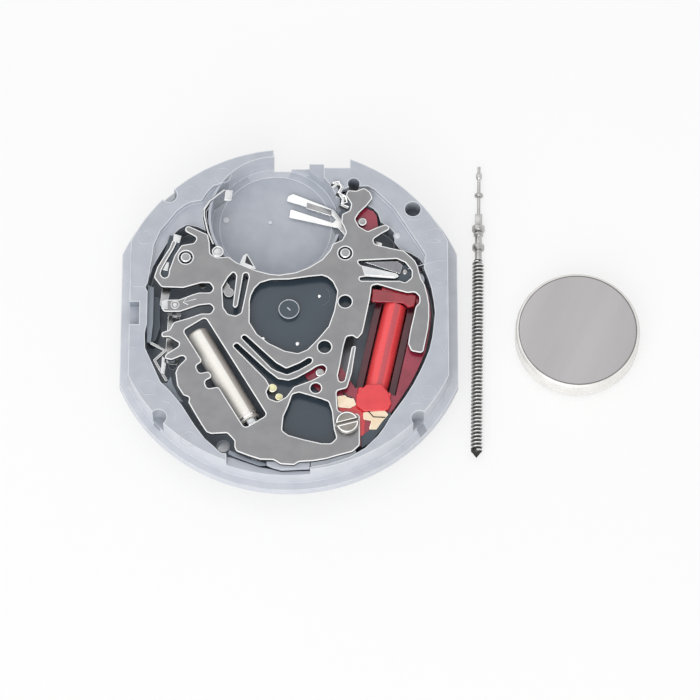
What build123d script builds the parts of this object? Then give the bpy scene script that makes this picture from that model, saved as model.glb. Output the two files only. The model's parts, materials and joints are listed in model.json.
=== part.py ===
from build123d import *
import math
import os

os.makedirs("parts", exist_ok=True)

# A quartz watch movement, back up, with its setting stem and button cell lying loose beside it.
# Millimetres. The origin is on the axis of the hands, in the plane that the dial rests on.
# +Z points to the back, +Y to 12 o'clock, and the stem's hole is at -X.

# Plan of the main plate. Outlines are in shares of the width: 256 of them across the flats.
movement_width = 25.6
width_shares = 256
step = movement_width / width_shares
flange_radius = 13.9
body_width = 24.1
body_radius = 13.25
flange_thick = 0.8
body_height = 3.1
dial_recess_radius = 10.95
dial_recess_depth = 0.5
web_thick = 0.3
web_top = dial_recess_depth + web_thick
overrun = 1.0
running_gap = 0.02
slip_gap = 0.03

# The cavity between the ring and the parts, clockwise from the upper right.
cavity_shares = [
    (38, 90), (40, 98), (46, 101), (60, 101.5), (65, 98.5), (70, 93.4), (79, 84), (88, 69.6), (97, 55),
    (103.5, 43.8), (102, 33.5), (105, 25.2), (107.7, 15.9), (109.3, 6.1), (110.3, -3.7), (109.3, -14),
    (108, -24.4), (105.7, -34.7), (102, -44.5), (99, -51.3), (94, -61.6), (88, -71.9), (81, -82.2),
    (76, -89.5), (72, -96.7), (67, -104), (57.5, -113.8), (46, -121), (30, -126.5), (17, -129),
    (-5, -130), (-12, -128), (-22, -126), (-36, -121), (-42, -118.5), (-50, -118), (-56, -112),
    (-62, -106.5), (-70, -95.5), (-80, -79), (-89, -67.5), (-96, -60.5), (-108, -33), (-108.5, -20),
    (-107, -13), (-107, 14), (-109, 17), (-107, 20.7), (-106, 27), (-104, 41.5), (-103, 52), (-101, 57),
    (-98, 64.4), (-92, 72), (-86, 80.3), (-80, 85.5), (-75, 88), (-66.5, 89.5), (-65, 93), (-62, 97.5),
    (-58, 102), (-50, 104), (-40, 90), (-30, 60), (20, 60),
]
cavity_corner = 0.25

# The deep part of that cavity. Around it a ledge of the ring reaches in under the plate's edge.
ledge_height = 2.65
deep_shares = [
    (38, 90), (40, 98), (45, 99), (51, 94), (58, 88), (64, 84.5), (67.5, 80.5), (69.5, 73), (76, 69),
    (80, 64), (80, 56), (84, 50.5), (92, 47), (99, 42.5), (103, 36.5), (101.5, 33.5), (105, 25.2),
    (107.7, 15.9), (109.3, 6.1), (110.3, -3.7), (109.3, -14), (108, -24.4), (105.7, -34.7),
    (102, -44.5), (99, -51.3), (94, -61.6), (88, -71.9), (81, -82.2), (76, -89.5), (72, -96.7),
    (67, -104), (57.5, -113.8), (46, -121), (30, -126.5), (17, -129), (-5, -130), (-12, -128),
    (-22, -126), (-36, -121), (-42, -118.5), (-50, -118), (-56, -112), (-62, -106.5), (-70, -95.5),
    (-80, -79), (-89, -67.5), (-96, -60.5), (-108, -33), (-108.5, -20), (-107, -13), (-107, 14),
    (-109, 17), (-107, 20.7), (-106, 27), (-103.5, 36), (-98.5, 46), (-93.5, 55), (-89, 62), (-84, 67.5),
    (-78, 71), (-70, 69), (-64, 66), (-60, 61), (-50, 60), (-30, 60), (20, 60),
]

# The battery well.
well_shares = (-11, 77)
well_radius = 4.9
well_wall = 0.2
well_wall_height = 2.1
well_step_radius = 4.25
well_step_depth = 0.08

# Cuts in the top of the ring.
notch_reach_shares = (100, 150)
notch_top_height = 1.2
notch_top_shares = (-12.4, 15)
notch_side_height = 2.1
notch_side_shares = (15, 26)
notch_low_height = 2.3
notch_low_shares = (-46, 16.5)
rim_cut_shares = (-12.4, 46)
rim_cut_reach_share = 124.5
step_cut_shares = (26, 46)
step_cut_reach_share = 117
stem_gap_height = 2.2
stem_gap_shares = (-13.5, 5)
stem_gap_reach_shares = (-150, -113)
stem_height = 1.4
stem_hole_radius = 0.52
dial_foot_radius = 0.45
dial_foot_shares = (49, 103.5)
pocket_radius = 0.6
pocket_depth = 1.6
pocket_shares = [(-92, 94), (94, 82), (-97, -89), (98, -90)]
pocket_slit_width = 0.2
pocket_slit_shares = [(-98, -89), (97, -90)]
pocket_slit_reach = 3.0
pillar_radius = 0.55
pillar_shares = [(-68, -72), (-24, -113), (97, 24)]
screw_shares = (44, -95)
screw_pillar_radius = 0.8
screw_shank_radius = 0.4
screw_depth = 1.3
screw_head_radius = 0.9
screw_head_height = 0.42
screw_slot_width = 0.24
screw_slot_depth = 0.2
screw_slot_angle = 15
screw_round = 0.1
center_hole_radius = 0.5
floor_post_radius = 0.3
floor_post_shares = [(62, 79), (100, -12)]

# The cover plate and its windows.
cover_gap = 2.15
cover_low = web_top + cover_gap
cover_thick = 0.25
cover_top = cover_low + cover_thick
cover_corner = 0.28
cover_shares = [
    (-60.5, 53.7), (-60, 44.4), (-55, 41.3), (-46, 41.9), (-40, 37.2), (-33, 34.1), (-25, 30.5),
    (-15, 27.7), (-7.5, 26.9), (5, 28.9), (15, 33.1), (25, 39.8), (31, 47.5), (33, 52.7), (40, 55.8),
    (43, 62), (41, 67.7), (39.5, 70.3), (40, 77.5), (46, 80.6), (47, 86), (43, 93), (44, 97.6),
    (51, 97.1), (57, 99.7), (61.5, 96.1), (63.5, 90.9), (59, 84.7), (53, 78.5), (50, 73.4), (53, 67.2),
    (59.5, 63), (67, 66.6), (74, 69.2), (77, 65.1), (70, 61), (63.5, 56.3), (65, 52.2), (78, 48.9),
    (87, 46.9), (92, 42.2), (95.3, 38.8), (97.3, 34.7), (98.6, 28.9), (100, 23.8), (102.8, 18.6),
    (104.8, 10.3), (106, 2.1), (106, -7.8), (105, -17.9), (103, -27.9), (101, -37.8), (92, -35.8),
    (89.8, -30), (90.7, -23.3), (92, -16.5), (94.3, -6.2), (95.6, 0.3), (98.5, 4), (98.5, 9),
    (95.3, 12.4), (89.4, 11.9), (80.3, 14.5), (71, 17.6), (66.6, 18.9), (62.5, 18), (62, 12.4),
    (61, 5.7), (59, -4.3), (57, -14.5), (55.5, -21.3), (51.5, -26.3), (48.3, -23.3), (43.5, -24),
    (41.5, -31.4), (38.5, -48.6), (37, -55.8), (38, -61), (42, -60.5), (44, -51), (47.5, -32),
    (50.8, -31.5), (47.5, -54), (44, -66), (36, -68.2), (36.5, -77.5), (37, -84.7), (53.5, -87),
    (53.5, -112), (48, -117.3), (38.3, -119.9), (28.5, -123), (18.7, -124.7), (8.2, -125.4),
    (4.5, -127.8), (-5.5, -127.2), (-10.8, -123.8), (-20.6, -123.5), (-28.4, -120.9), (-38.6, -116.8),
    (-40, -113.3), (-40, -108.5), (-45.4, -102.3), (-57.5, -103), (-61, -101.5), (-64.6, -95.8),
    (-69.2, -87.8), (-74.8, -77.5), (-74, -73.5), (-78.7, -71.8), (-83.3, -64.1), (-84.9, -53.5),
    (-83, -48.5), (-76.8, -41.8), (-79.7, -39.5), (-88, -43.2), (-93, -42), (-92.7, -38.7),
    (-83, -32), (-82.3, -29.3), (-90, -24.3), (-95.7, -24.6), (-96, -20.7), (-90, -18.6),
    (-86.8, -12.2), (-75.7, -8.8), (-66.5, -5.2), (-59, -5.1), (-56.4, -0.7), (-59.4, 2.6),
    (-68, 1.6), (-82.3, -3.7), (-95.7, -3.7), (-95.6, 6.2), (-83, 6.4), (-72.5, 10.8), (-67.9, 12.2),
    (-59.3, 12.2), (-57, 15.5), (-60, 20.1), (-66.6, 20.1), (-76.4, 17.1), (-80, 16), (-96.6, 16.7),
    (-102.5, 24.8), (-100, 33.4), (-95, 42.4), (-90.8, 49.6), (-88.7, 56), (-85.2, 54.5), (-88, 48),
    (-92.5, 39.5), (-96.5, 31.5), (-97.5, 27.5), (-95, 24), (-91.5, 25.5), (-91, 30.5), (-87, 43),
    (-82, 51.5), (-72.5, 53.2), (-70, 57.5), (-80, 63.5), (-78, 68.2), (-67, 62.8), (-62, 60.5),
]
center_window_shares = [
    (-29.5, 5.2), (-28.5, 10.3), (-26, 15.5), (-22, 20.1), (-14, 22.7), (0, 23), (15, 25.3), (25, 26.3),
    (29, 24.8), (33, 21.2), (36.5, 13.4), (35.5, 5.2), (34, -3.1), (30, -15.5), (22, -25.8), (14, -34.6),
    (7, -37.7), (-3, -35.6), (-15, -29.4), (-24, -21.7), (-29.5, -12.4),
]
lower_window_shares = [
    (3, -71), (8, -69.6), (16, -72), (25, -75), (30, -77), (32.5, -84.7), (34, -99), (36, -106.4),
    (32, -110.5), (25, -110.5), (12, -107.4), (0, -103.8), (-4.5, -100.2), (-3.5, -88.8), (0, -80.6),
]
crystal_window_shares = [
    (-63, -8.3), (-79.5, -19.1), (-64.5, -44.4), (-70, -48), (-67, -54), (-59.8, -52.3), (-57, -57),
    (-63, -60.5), (-61, -66.5), (-52.4, -64.8), (-32.5, -98.2), (-16, -87.8),
]
left_slot_shares = [
    (-42, 29.5), (-46, 25), (-50.5, 16.5), (-49.5, 0), (-46, -5.5), (-40, -7), (-36, -4.5), (-30.5, 25),
    (-31.5, 28.5), (-34.5, 28), (-38.5, 1.5), (-40.5, -1), (-42.5, 1), (-40, 26),
]
right_slot_shares = [
    (51.5, 38.5), (81.6, 40.1), (88, 37), (93, 30), (92.7, 24.6), (88, 20.2), (84, 21.9), (54, 21.9),
    (53, 24.5), (58, 25.5), (80, 23.8), (83.5, 25.5), (81.5, 28), (67, 31.5), (54, 34.8),
]
upper_fork_shares = [
    (-36, -24.5), (-33, -22.5), (-9.5, -45.5), (-1.7, -50.3), (8.8, -45.5), (15.3, -41.1), (18, -42.5),
    (17, -45.5), (8, -51), (-1, -55), (-9, -52), (-13, -49.5),
]
lower_fork_shares = [
    (-42, -31.5), (-39, -29), (-16, -51.8), (-8, -58.5), (0, -60), (6, -58), (16, -52), (21, -48.5),
    (25.5, -47), (28.5, -49.5), (27, -54), (18, -59.4), (4, -65), (-1.5, -73), (-8, -77), (-14.5, -74.5),
    (-16.5, -69), (-14, -64), (-17, -58.5),
]
window_corner = 0.28
cover_hole_shares = [(42.5, 4.7), (27, -32.5), (20.5, -66)]
cover_hole_radii_shares = [5, 5, 4]
plate_pin_shares = [(-78.5, 41.3), (42.5, 44.9)]
board_pin_shares = [(55.5, 72.3), (23.5, -52.2)]
plate_pin_radius = 0.4
plate_pin_clearance = 0.13
board_pin_radius = 0.35
pin_stand = 0.05
pin_clearance = 0.03
least_turn = 8
corner_share = 0.45

# The gear train. Arbors stand at chosen places, and the modules follow from the distances.
fifth_shares = (23, 13)
third_shares = (6.5, -25)
rotor_shares = (42.5, 4.7)
rotor_teeth = 6
fifth_teeth = 60
fifth_pinion_teeth = 10
seconds_teeth = 30
seconds_pinion_teeth = 8
third_teeth = 60
third_pinion_teeth = 8
center_teeth = 64
cannon_teeth = 12
minute_teeth = 36
minute_pinion_teeth = 10
hour_teeth = 40
setting_teeth = 14
transfer_teeth = 40
transfer_pinion_teeth = 14
driver_teeth = 28
date_teeth = 31
tip_share = 0.9
root_share = 1.15
tip_width_share = 0.11
root_width_share = 0.3
wheel_thick = 0.12
arbor_radius = 0.12
arbor_clearance = 0.02
seconds_radius = 0.1
seconds_seat_radius = 0.09
seconds_reach = 1.65
center_bore = 0.14
center_tube = 0.21
center_reach = 1.4
cannon_bore = 0.23
cannon_tube = 0.45
cannon_seat_radius = 0.29
cannon_reach = 1.25
hour_bore = 0.48
hour_tube = 0.75
hour_shoulder_radius = 0.93
hour_reach = 0.85

# Levels above the web.
center_rise = 0.15
third_rise = 0.52
seconds_rise = 0.82
fifth_rise = 1.1
pinion_lap = 0.04
bridge_rise = 1.3
bridge_thick = 0.4
boss_radius = 0.8
boss_height = 0.36
bridge_shares = [
    (-56, 18), (-40, 27), (-11, 24.5), (15, 30), (30, 32), (46, 18), (50, 6), (47, -8), (40, -16),
    (38, -40), (33, -60), (35, -75), (35, -112), (-4, -110), (-9, -88), (-34, -46), (-53, -13), (-57, 0),
]
bridge_corner = 0.28

# The stepping motor.
magnet_radius = 0.6
magnet_rise = 0.2
magnet_height = 0.6
stator_rise = 0.3
stator_thick = 0.4
stator_hole_radius = 0.8
stator_ring_radius = 1.15
upper_arm_shares = [(46, 14), (54, 6), (74, 19), (90, 12), (92, 22), (72, 29)]
lower_arm_shares = [(40, -4), (50, -6), (48, -30), (46, -62), (70, -68), (69, -80), (40, -76), (38, -50)]
coil_top_shares = (81, 8.5)
coil_low_shares = (65, -66)
coil_radius = 0.9
coil_height = 1.12
core_width = 0.8
core_thick = 0.3
pad_length = 1.0
pad_width = 1.5
bobbin_width = 3.0
bobbin_wall = 0.5
bobbin_floor = 0.1
bobbin_rise = 0.05
bobbin_height = 1.35
flange_end = 0.3
cap_height = 0.22
cap_width = 2.5
cap_length = 1.1

# The circuit.
board_rise = 1.7
board_thick = 0.2
board_shares = [
    (46, 64), (46.5, 78.5), (51, 84.5), (58, 85), (64, 82), (66.5, 78), (67.5, 70), (65, 63.5), (61, 60),
    (62, 53.5), (66, 49), (78, 46.2), (87, 44.3), (94, 40), (98.5, 34), (102, 25), (105, 15), (106.5, 5),
    (107.5, -4), (106.5, -14), (105, -24), (103, -34),
    (99, -44), (96, -51), (91, -61), (85, -71), (78, -82), (73, -89), (69, -96), (64, -103),
    (56, -110), (48, -113), (36.5, -108), (36.5, -70), (22, -66), (12, -54), (17, -46), (38, -44),
    (50, -64), (66, -60), (76, 0), (84, 9), (93, 14.5), (95, 24), (94.5, 31.5), (88.5, 41.4), (54, 41.6),
    (50, 56),
]
board_corner = 0.2
board_margin = 0.1
chip_shares = (92, -44)
chip_side = 1.1
chip_height = 0.45
chip_round = 0.15
contact_thick = 0.12
contact_shares = [
    [(36, -71), (43, -70), (49, -73), (51, -78), (46, -81), (37, -80)],
    [(56, -84), (72, -82), (75, -86), (70, -92), (66, -98), (60, -98), (62, -91), (56, -90)],
]
crystal_head_shares = (-70, -16)
crystal_foot_shares = (-29, -88)
crystal_radius = 0.85
crystal_height = 1.15
crystal_round = 0.25
crystal_base_length = 0.5
crystal_base_radius = 0.7
lead_radius = 0.12
lead_length = 0.9
lead_spread = 0.3
contact_pin_shares = [(-12, -64.6), (-7, -72)]
contact_pin_radii_shares = [3.6, 3.2]
contact_pin_height = 0.42

# The terminals.
leaf_thick = 0.12
leaf_height = 2.1
leaf_slot_width = 0.24
plus_leaf_shares = [(-58, 54), (-62, 64), (-65, 77), (-65, 83), (-61, 89.5), (-55, 95), (-50, 99)]
minus_rise = 0.12
minus_thick = 0.12
minus_shares = [
    (70, 58), (60, 60), (44, 67), (37, 75.5), (-0.5, 84.5), (0.5, 91.5), (33, 80), (35.5, 82.5),
    (32, 86.5), (-2.5, 98.5), (-1.4, 102.5), (2.4, 104.5), (34, 91), (42, 79.5), (46, 73), (62, 66),
    (71, 63),
]
minus_slot_shares = (30, 62, 92)
hook_shares = [(33.5, 100), (37, 103.5), (40.5, 100), (38, 95), (41, 90), (40, 85), (44, 83)]
hook_width = 0.22
hook_thick = 0.12

# The keyless works.
guide_shares = [(-106, 12.5), (-98, 12.5), (-97.5, -12), (-101, -24), (-106.5, -24)]
guide_height = 1.42
lever_rise = 1.5
lever_thick = 0.22
lever_shares = [
    (-84, 36), (-96, 20), (-98, 4), (-93, 2), (-90, 17), (-80, 30), (-74, 29), (-66, 18), (-62.5, 20),
    (-70, 35), (-73, 46), (-83, 47),
]
yoke_rise = 1.1
yoke_shares = [(-92, -42), (-84, -43), (-82, -36), (-87, -30), (-88, -2), (-91.5, -2), (-93, -30)]
yoke_pivot_shares = (-88, -38)
reset_rise = 1.78
reset_shares = [(-70, 40), (-62, 42), (-56, 34), (-44, 18), (-49, 12.5), (-62, 28), (-70, 34)]
reset_pivot_shares = (-65, 36)
reset_pad_shares = (-45.5, 13.9)
reset_pad_radius = 0.38
lever_post_radius = 0.3
spring_shares = [(-103.5, -27), (-93, -33), (-101, -41), (-92, -57)]
spring_rise = 1.5
spring_height = 0.3
spring_width = 0.22
slider_shares = (-92, -82)
slider_radius = 0.44
slider_groove = 0.3
slider_neck_radius = 0.22
slider_bore_radius = 0.15
slider_teeth = 10

# The dial side.
guard_low = 0.02
guard_thick = 0.12
guard_hole_radius = 1.0
guard_screw_shares = [(-64, 38), (60, 42), (-30, -74)]
guard_post_radius = 0.5
guard_screw_radius = 0.22
guard_head_radius = 0.4
guard_head_height = 0.1
date_gap = 0.15
date_band = 1.85
date_tooth = 0.45
date_outer_radius = dial_recess_radius - date_gap
date_root_radius = date_outer_radius - date_band
date_tip_radius = date_root_radius - date_tooth
guard_lap = 0.5
guard_radius = date_tip_radius + guard_lap
date_low = 0.18
date_thick = 0.26
hour_low = 0.18
motion_thick = 0.1
minute_low = 0.37
cannon_low = 0.33
cannon_high = 0.48
minute_shares = (-24, 0)
setting_shares = (-49, 0)
transfer_angle = -63
driver_distance = 2.1
driver_low = 0.31
finger_low = 0.43
finger_thick = 0.05
finger_gap = 0.16
finger_width = 0.35
finger_hub_radius = 0.41
finger_angle = 200
jumper_shares = [(38, 67), (42, 70), (52, 64), (60, 57), (66, 51), (64, 48.5), (56, 55), (44, 62), (38, 64)]
jumper_post_shares = (44, 65)

# The loose stem, from its pilot to the end of its thread: length and radius of each stretch.
stem_top_shares = (146.4, 137.5)
stem_foot_shares = (141.5, -105.2)
stem_stretches = [
    ("pilot", 0.5, 0.12), ("bead", 0.55, 0.24), ("shaft", 1.2, 0.13), ("collar", 0.3, 0.34),
    ("square_neck", 1.55, 0.13), ("square", 0.9, 0.37), ("hub", 0.55, 0.5), ("ring", 0.35, 0.38),
    ("neck", 0.7, 0.27), ("shoulder", 0.5, 0.47), ("thread_neck", 0.85, 0.27),
]
square_side = 0.56
thread_radius = 0.45
thread_root_radius = 0.34
thread_pitch = 0.3
thread_point = 0.5

# The loose button cell.
cell_shares = (219.4, -6.6)
cell_radius = 4.75
cell_height = 2.05
cell_wall = 0.2
cell_edge = 0.3
cap_radius = 3.9
cap_stand = 0.25
cap_edge = 0.3

floor_level = -seconds_reach

standing = (Align.CENTER, Align.CENTER, Align.MIN)
hanging = (Align.CENTER, Align.CENTER, Align.MAX)
cornered = (Align.MIN, Align.MIN, Align.MIN)


def place(shares):
    """A place in plan, from shares of the width."""
    return Vector(shares[0] * step, shares[1] * step)


def span(start, end):
    """Length and direction in degrees from one place to another."""
    run = place(end) - place(start)
    return run.length, math.degrees(math.atan2(run.Y, run.X))


def rounded_face(shares, corner):
    """A closed outline whose corners are rounded as far as their sides allow."""
    points = [place(share) for share in shares]
    count = len(points)
    radii = []
    for i in range(count):
        before = points[i] - points[i - 1]
        after = points[(i + 1) % count] - points[i]
        turn = before.get_angle(after)
        if turn < least_turn:
            radii.append(0)
            continue
        room = corner_share * min(before.length, after.length) / math.tan(math.radians(turn) / 2)
        radii.append(min(corner, room))
    return make_face(FilletPolyline(*points, radius=radii, close=True))


def slab(face, low, thick):
    """A flat piece of one face, from its lower level up."""
    return Pos(0, 0, low) * extrude(face, thick)


def post(shares, radius, low, high):
    """A round post at a place in plan."""
    spot = place(shares)
    return Pos(spot.X, spot.Y, low) * Cylinder(radius, high - low, align=standing)


def disc(radius, low, high):
    """A round post on the axis of the hands."""
    return post((0, 0), radius, low, high)


def block(left, right, near, far, low, high):
    """A box from its six sides."""
    return Pos(left, near, low) * Box(right - left, far - near, high - low, align=cornered)


def toothed_face(teeth, module, tooth_at):
    """A gear's outline, with one tooth centred on the direction tooth_at in degrees."""
    pitch_radius = teeth * module / 2
    tip = pitch_radius + tip_share * module
    root = pitch_radius - root_share * module
    pitch = 2 * math.pi / teeth
    points = []
    for i in range(teeth):
        middle = math.radians(tooth_at) + i * pitch
        for radius, share in [(root, -root_width_share), (tip, -tip_width_share),
                              (tip, tip_width_share), (root, root_width_share)]:
            angle = middle + share * pitch
            points.append((radius * math.cos(angle), radius * math.sin(angle)))
    return make_face(Polyline(*points, close=True))


def gear(shares, teeth, module, tooth_at, low, thick, bore):
    """A flat gear at a place in plan."""
    spot = place(shares)
    body = slab(toothed_face(teeth, module, tooth_at), low, thick)
    if bore > 0:
        body -= disc(bore, low - overrun, low + thick + overrun)
    return Pos(spot.X, spot.Y, 0) * body


def module_of(start, end, teeth_a, teeth_b):
    """The module that two meshing wheels need at their distance."""
    return 2 * span(start, end)[0] / (teeth_a + teeth_b)


def strip(shares, width, low, height):
    """A leaf that stands on edge along a route in plan, with mitred corners."""
    route = Polyline(*[place(share) for share in shares])
    return slab(make_face(offset(route, width / 2, side=Side.BOTH)), low, height)


def along(shares_a, shares_b, height):
    """A plane at one place whose Z runs towards another place."""
    run = place(shares_b) - place(shares_a)
    start = place(shares_a)
    return Plane(origin=(start.X, start.Y, height), x_dir=(0, 0, 1), z_dir=(run.X, run.Y, 0))


def ring_plan(radius, width):
    """A round plate's outline with its two flats."""
    return Circle(radius) & Rectangle(width, 2 * radius)


def main_plate():
    """Ring, flange, web and battery well in one moulding."""
    body = slab(ring_plan(flange_radius, movement_width), 0, flange_thick)
    body += slab(ring_plan(body_radius, body_width), 0, body_height)
    body -= slab(rounded_face(cavity_shares, cavity_corner), ledge_height, body_height)
    body -= slab(rounded_face(deep_shares, cavity_corner), web_top, body_height)
    body += post(well_shares, well_radius + well_wall, web_top, web_top + well_wall_height) & slab(
        ring_plan(body_radius, body_width), 0, body_height)
    body -= post(well_shares, well_radius, web_top, body_height + overrun)
    body -= post(well_shares, well_step_radius, web_top - well_step_depth, body_height)
    for shares, height in [(notch_top_shares, notch_top_height), (notch_side_shares, notch_side_height)]:
        body -= block(shares[0] * step, shares[1] * step, notch_reach_shares[0] * step,
                      notch_reach_shares[1] * step, height, body_height + overrun)
    body -= block(notch_low_shares[0] * step, notch_low_shares[1] * step, -notch_reach_shares[1] * step,
                  -notch_reach_shares[0] * step, notch_low_height, body_height + overrun)
    body -= block(stem_gap_reach_shares[0] * step, stem_gap_reach_shares[1] * step,
                  stem_gap_shares[0] * step, stem_gap_shares[1] * step, stem_gap_height,
                  body_height + overrun)
    body -= rim_cuts()
    body -= disc(dial_recess_radius, -overrun, dial_recess_depth)
    for shares in pocket_shares:
        body -= post(shares, pocket_radius, body_height - pocket_depth, body_height + overrun)
    for shares in pocket_slit_shares:
        spot = place(shares)
        body -= block(spot.X - pocket_slit_width / 2, spot.X + pocket_slit_width / 2,
                      spot.Y - pocket_slit_reach, spot.Y, body_height - pocket_depth, body_height + overrun)
    body += floor_posts()
    body -= plate_holes()
    return body


def rim_cuts():
    """What the edge above the battery well leaves out, so that the cell can be lifted there."""
    far = notch_reach_shares[1] * step
    cuts = block(rim_cut_shares[0] * step, rim_cut_shares[1] * step, rim_cut_reach_share * step, far,
                 -overrun, body_height + overrun)
    return cuts + block(step_cut_shares[0] * step, step_cut_shares[1] * step, step_cut_reach_share * step,
                        far, flange_thick, body_height + overrun)


def floor_posts():
    """What stands on the web to carry the cover plate, the board and the crystal."""
    posts = post(screw_shares, screw_pillar_radius, web_top, cover_low)
    for shares in pillar_shares:
        posts += post(shares, pillar_radius, web_top, cover_low)
    for shares in floor_post_shares:
        posts += post(shares, floor_post_radius, web_top, web_top + board_rise)
    for shares in guard_screw_shares:
        posts += post(shares, guard_post_radius, guard_low + guard_thick, dial_recess_depth)
    posts += post(jumper_post_shares, arbor_radius, date_low + running_gap, dial_recess_depth)
    for shares in [yoke_pivot_shares, reset_pivot_shares]:
        posts += post(shares, lever_post_radius - arbor_clearance, web_top, cover_low)
    for shares in [minute_shares, setting_shares]:
        posts += post(shares, arbor_radius, hour_low, dial_recess_depth)
    return posts


def plate_holes():
    """Dial feet, centre hole, stem hole, screw bores and the doorway for the battery contact."""
    shank = screw_shank_radius + arbor_clearance
    holes = post(screw_shares, shank, cover_low - screw_depth, cover_low + overrun)
    holes += disc(center_hole_radius, -overrun, web_top + overrun)
    for sign in (1, -1):
        foot = (sign * dial_foot_shares[0], sign * dial_foot_shares[1])
        holes += post(foot, dial_foot_radius, -overrun, body_height + overrun)
    for shares in guard_screw_shares:
        holes += post(shares, guard_screw_radius + arbor_clearance, -overrun, web_top - running_gap)
    bore = Cylinder(stem_hole_radius, 2 * overrun + flange_radius - body_width / 2)
    holes += Pos(-body_width / 2, 0, stem_height) * Rot(0, 90, 0) * bore
    holes += strip(plus_leaf_shares, leaf_slot_width, web_top, body_height)
    slot = place((minus_slot_shares[0], 0)).X
    holes += block(slot, slot + 2 * overrun, minus_slot_shares[1] * step, minus_slot_shares[2] * step,
                   web_top, web_top + well_wall_height + overrun)
    return holes


def cover_plate():
    """The stamped steel plate, with its windows, fingers and holes."""
    plate = slab(rounded_face(cover_shares, cover_corner), cover_low, cover_thick)
    for shares in [center_window_shares, lower_window_shares, crystal_window_shares, left_slot_shares,
                   right_slot_shares, upper_fork_shares, lower_fork_shares]:
        plate -= slab(rounded_face(shares, window_corner), cover_low - overrun, cover_thick + 2 * overrun)
    for shares, radius in zip(cover_hole_shares, cover_hole_radii_shares):
        plate -= post(shares, radius * step, cover_low - overrun, cover_top + overrun)
    for shares in plate_pin_shares:
        plate -= post(shares, plate_pin_radius + plate_pin_clearance, cover_low - overrun,
                      cover_top + overrun)
    plate -= post(screw_shares, screw_shank_radius + pin_clearance, cover_low - overrun, cover_top + overrun)
    return plate


def cover_screw():
    """Slotted cheese-head screw that holds the cover plate."""
    head = disc(screw_head_radius, cover_top, cover_top + screw_head_height)
    head = chamfer(head.edges().group_by(Axis.Z)[-1], screw_round)
    slot_top = cover_top + screw_head_height
    slot = block(-screw_head_radius - overrun, screw_head_radius + overrun, -screw_slot_width / 2,
                 screw_slot_width / 2, slot_top - screw_slot_depth, slot_top + overrun)
    head -= Rot(0, 0, screw_slot_angle) * slot
    head += disc(screw_shank_radius, cover_low - screw_depth + running_gap, cover_top)
    spot = place(screw_shares)
    return Pos(spot.X, spot.Y, 0) * head


def plate_pins():
    """Pins that stand on the web and through the cover plate."""
    pins = [post(shares, plate_pin_radius, web_top, cover_top + pin_stand) for shares in plate_pin_shares]
    board_top = web_top + board_rise + board_thick
    pins += [post(shares, board_pin_radius, board_top, cover_low) for shares in board_pin_shares]
    return Compound(pins)


def contact_pins():
    """Brass test pins on the train bridge."""
    low = web_top + bridge_rise + bridge_thick
    pins = [post(shares, radius * step, low, low + contact_pin_height)
            for shares, radius in zip(contact_pin_shares, contact_pin_radii_shares)]
    return Compound(pins)


def train_bridge():
    """Dark bridge over the wheels, with the boss over the hands' axis."""
    low = web_top + bridge_rise
    bridge = slab(rounded_face(bridge_shares, bridge_corner), low, bridge_thick)
    bridge += disc(boss_radius, low + bridge_thick, low + bridge_thick + boss_height)
    return bridge


def stem_guide():
    """Block with the bearing that the stem runs in."""
    body = slab(rounded_face(guide_shares, cavity_corner), web_top, guide_height)
    bore = Cylinder(stem_hole_radius, 2 * overrun + guide_height)
    spot = place(guide_shares[0])
    return body - Pos(spot.X, 0, stem_height) * Rot(0, 90, 0) * bore


def arbor(shares):
    """An arbor between the web and the train bridge, with end shake."""
    return post(shares, arbor_radius, web_top + running_gap, web_top + bridge_rise - running_gap)


def center_wheel():
    """Wheel on the tube that carries the minute hand's pinion."""
    module = module_of((0, 0), third_shares, center_teeth, third_pinion_teeth)
    low = web_top + center_rise
    wheel = gear((0, 0), center_teeth, module, span((0, 0), third_shares)[1], low, wheel_thick, 0)
    wheel += disc(center_tube, -center_reach, low + wheel_thick + pinion_lap)
    return wheel - disc(center_bore, -center_reach - overrun, web_top + bridge_rise)


def third_pinion():
    """Pinion and arbor between the centre wheel and the seconds pinion."""
    module = module_of((0, 0), third_shares, center_teeth, third_pinion_teeth)
    facing = span(third_shares, (0, 0))[1] + 180 / third_pinion_teeth
    low = web_top + center_rise - pinion_lap
    pinion = gear(third_shares, third_pinion_teeth, module, facing, low, wheel_thick + 2 * pinion_lap, 0)
    return pinion + arbor(third_shares)


def third_wheel():
    """Wheel on the third arbor."""
    module = module_of((0, 0), third_shares, third_teeth, seconds_pinion_teeth)
    facing = span(third_shares, (0, 0))[1]
    return gear(third_shares, third_teeth, module, facing, web_top + third_rise, wheel_thick, arbor_radius)


def seconds_arbor():
    """Thin arbor through the whole movement, with its pinion."""
    module = module_of((0, 0), third_shares, third_teeth, seconds_pinion_teeth)
    facing = span((0, 0), third_shares)[1] + 180 / seconds_pinion_teeth
    low = web_top + third_rise - pinion_lap
    pinion = gear((0, 0), seconds_pinion_teeth, module, facing, low, wheel_thick + 2 * pinion_lap, 0)
    pinion += disc(seconds_radius, -center_reach, web_top + bridge_rise - running_gap)
    return pinion + disc(seconds_seat_radius, -seconds_reach, -center_reach)


def seconds_wheel():
    """Wheel that carries the seconds hand, once round a minute."""
    module = module_of((0, 0), fifth_shares, seconds_teeth, fifth_pinion_teeth)
    facing = span((0, 0), fifth_shares)[1]
    return gear((0, 0), seconds_teeth, module, facing, web_top + seconds_rise, wheel_thick, seconds_radius)


def fifth_pinion():
    """Pinion and arbor beside the rotor."""
    module = module_of((0, 0), fifth_shares, seconds_teeth, fifth_pinion_teeth)
    facing = span(fifth_shares, (0, 0))[1] + 180 / fifth_pinion_teeth
    low = web_top + seconds_rise - pinion_lap
    pinion = gear(fifth_shares, fifth_pinion_teeth, module, facing, low, wheel_thick + 2 * pinion_lap, 0)
    return pinion + arbor(fifth_shares)


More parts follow.
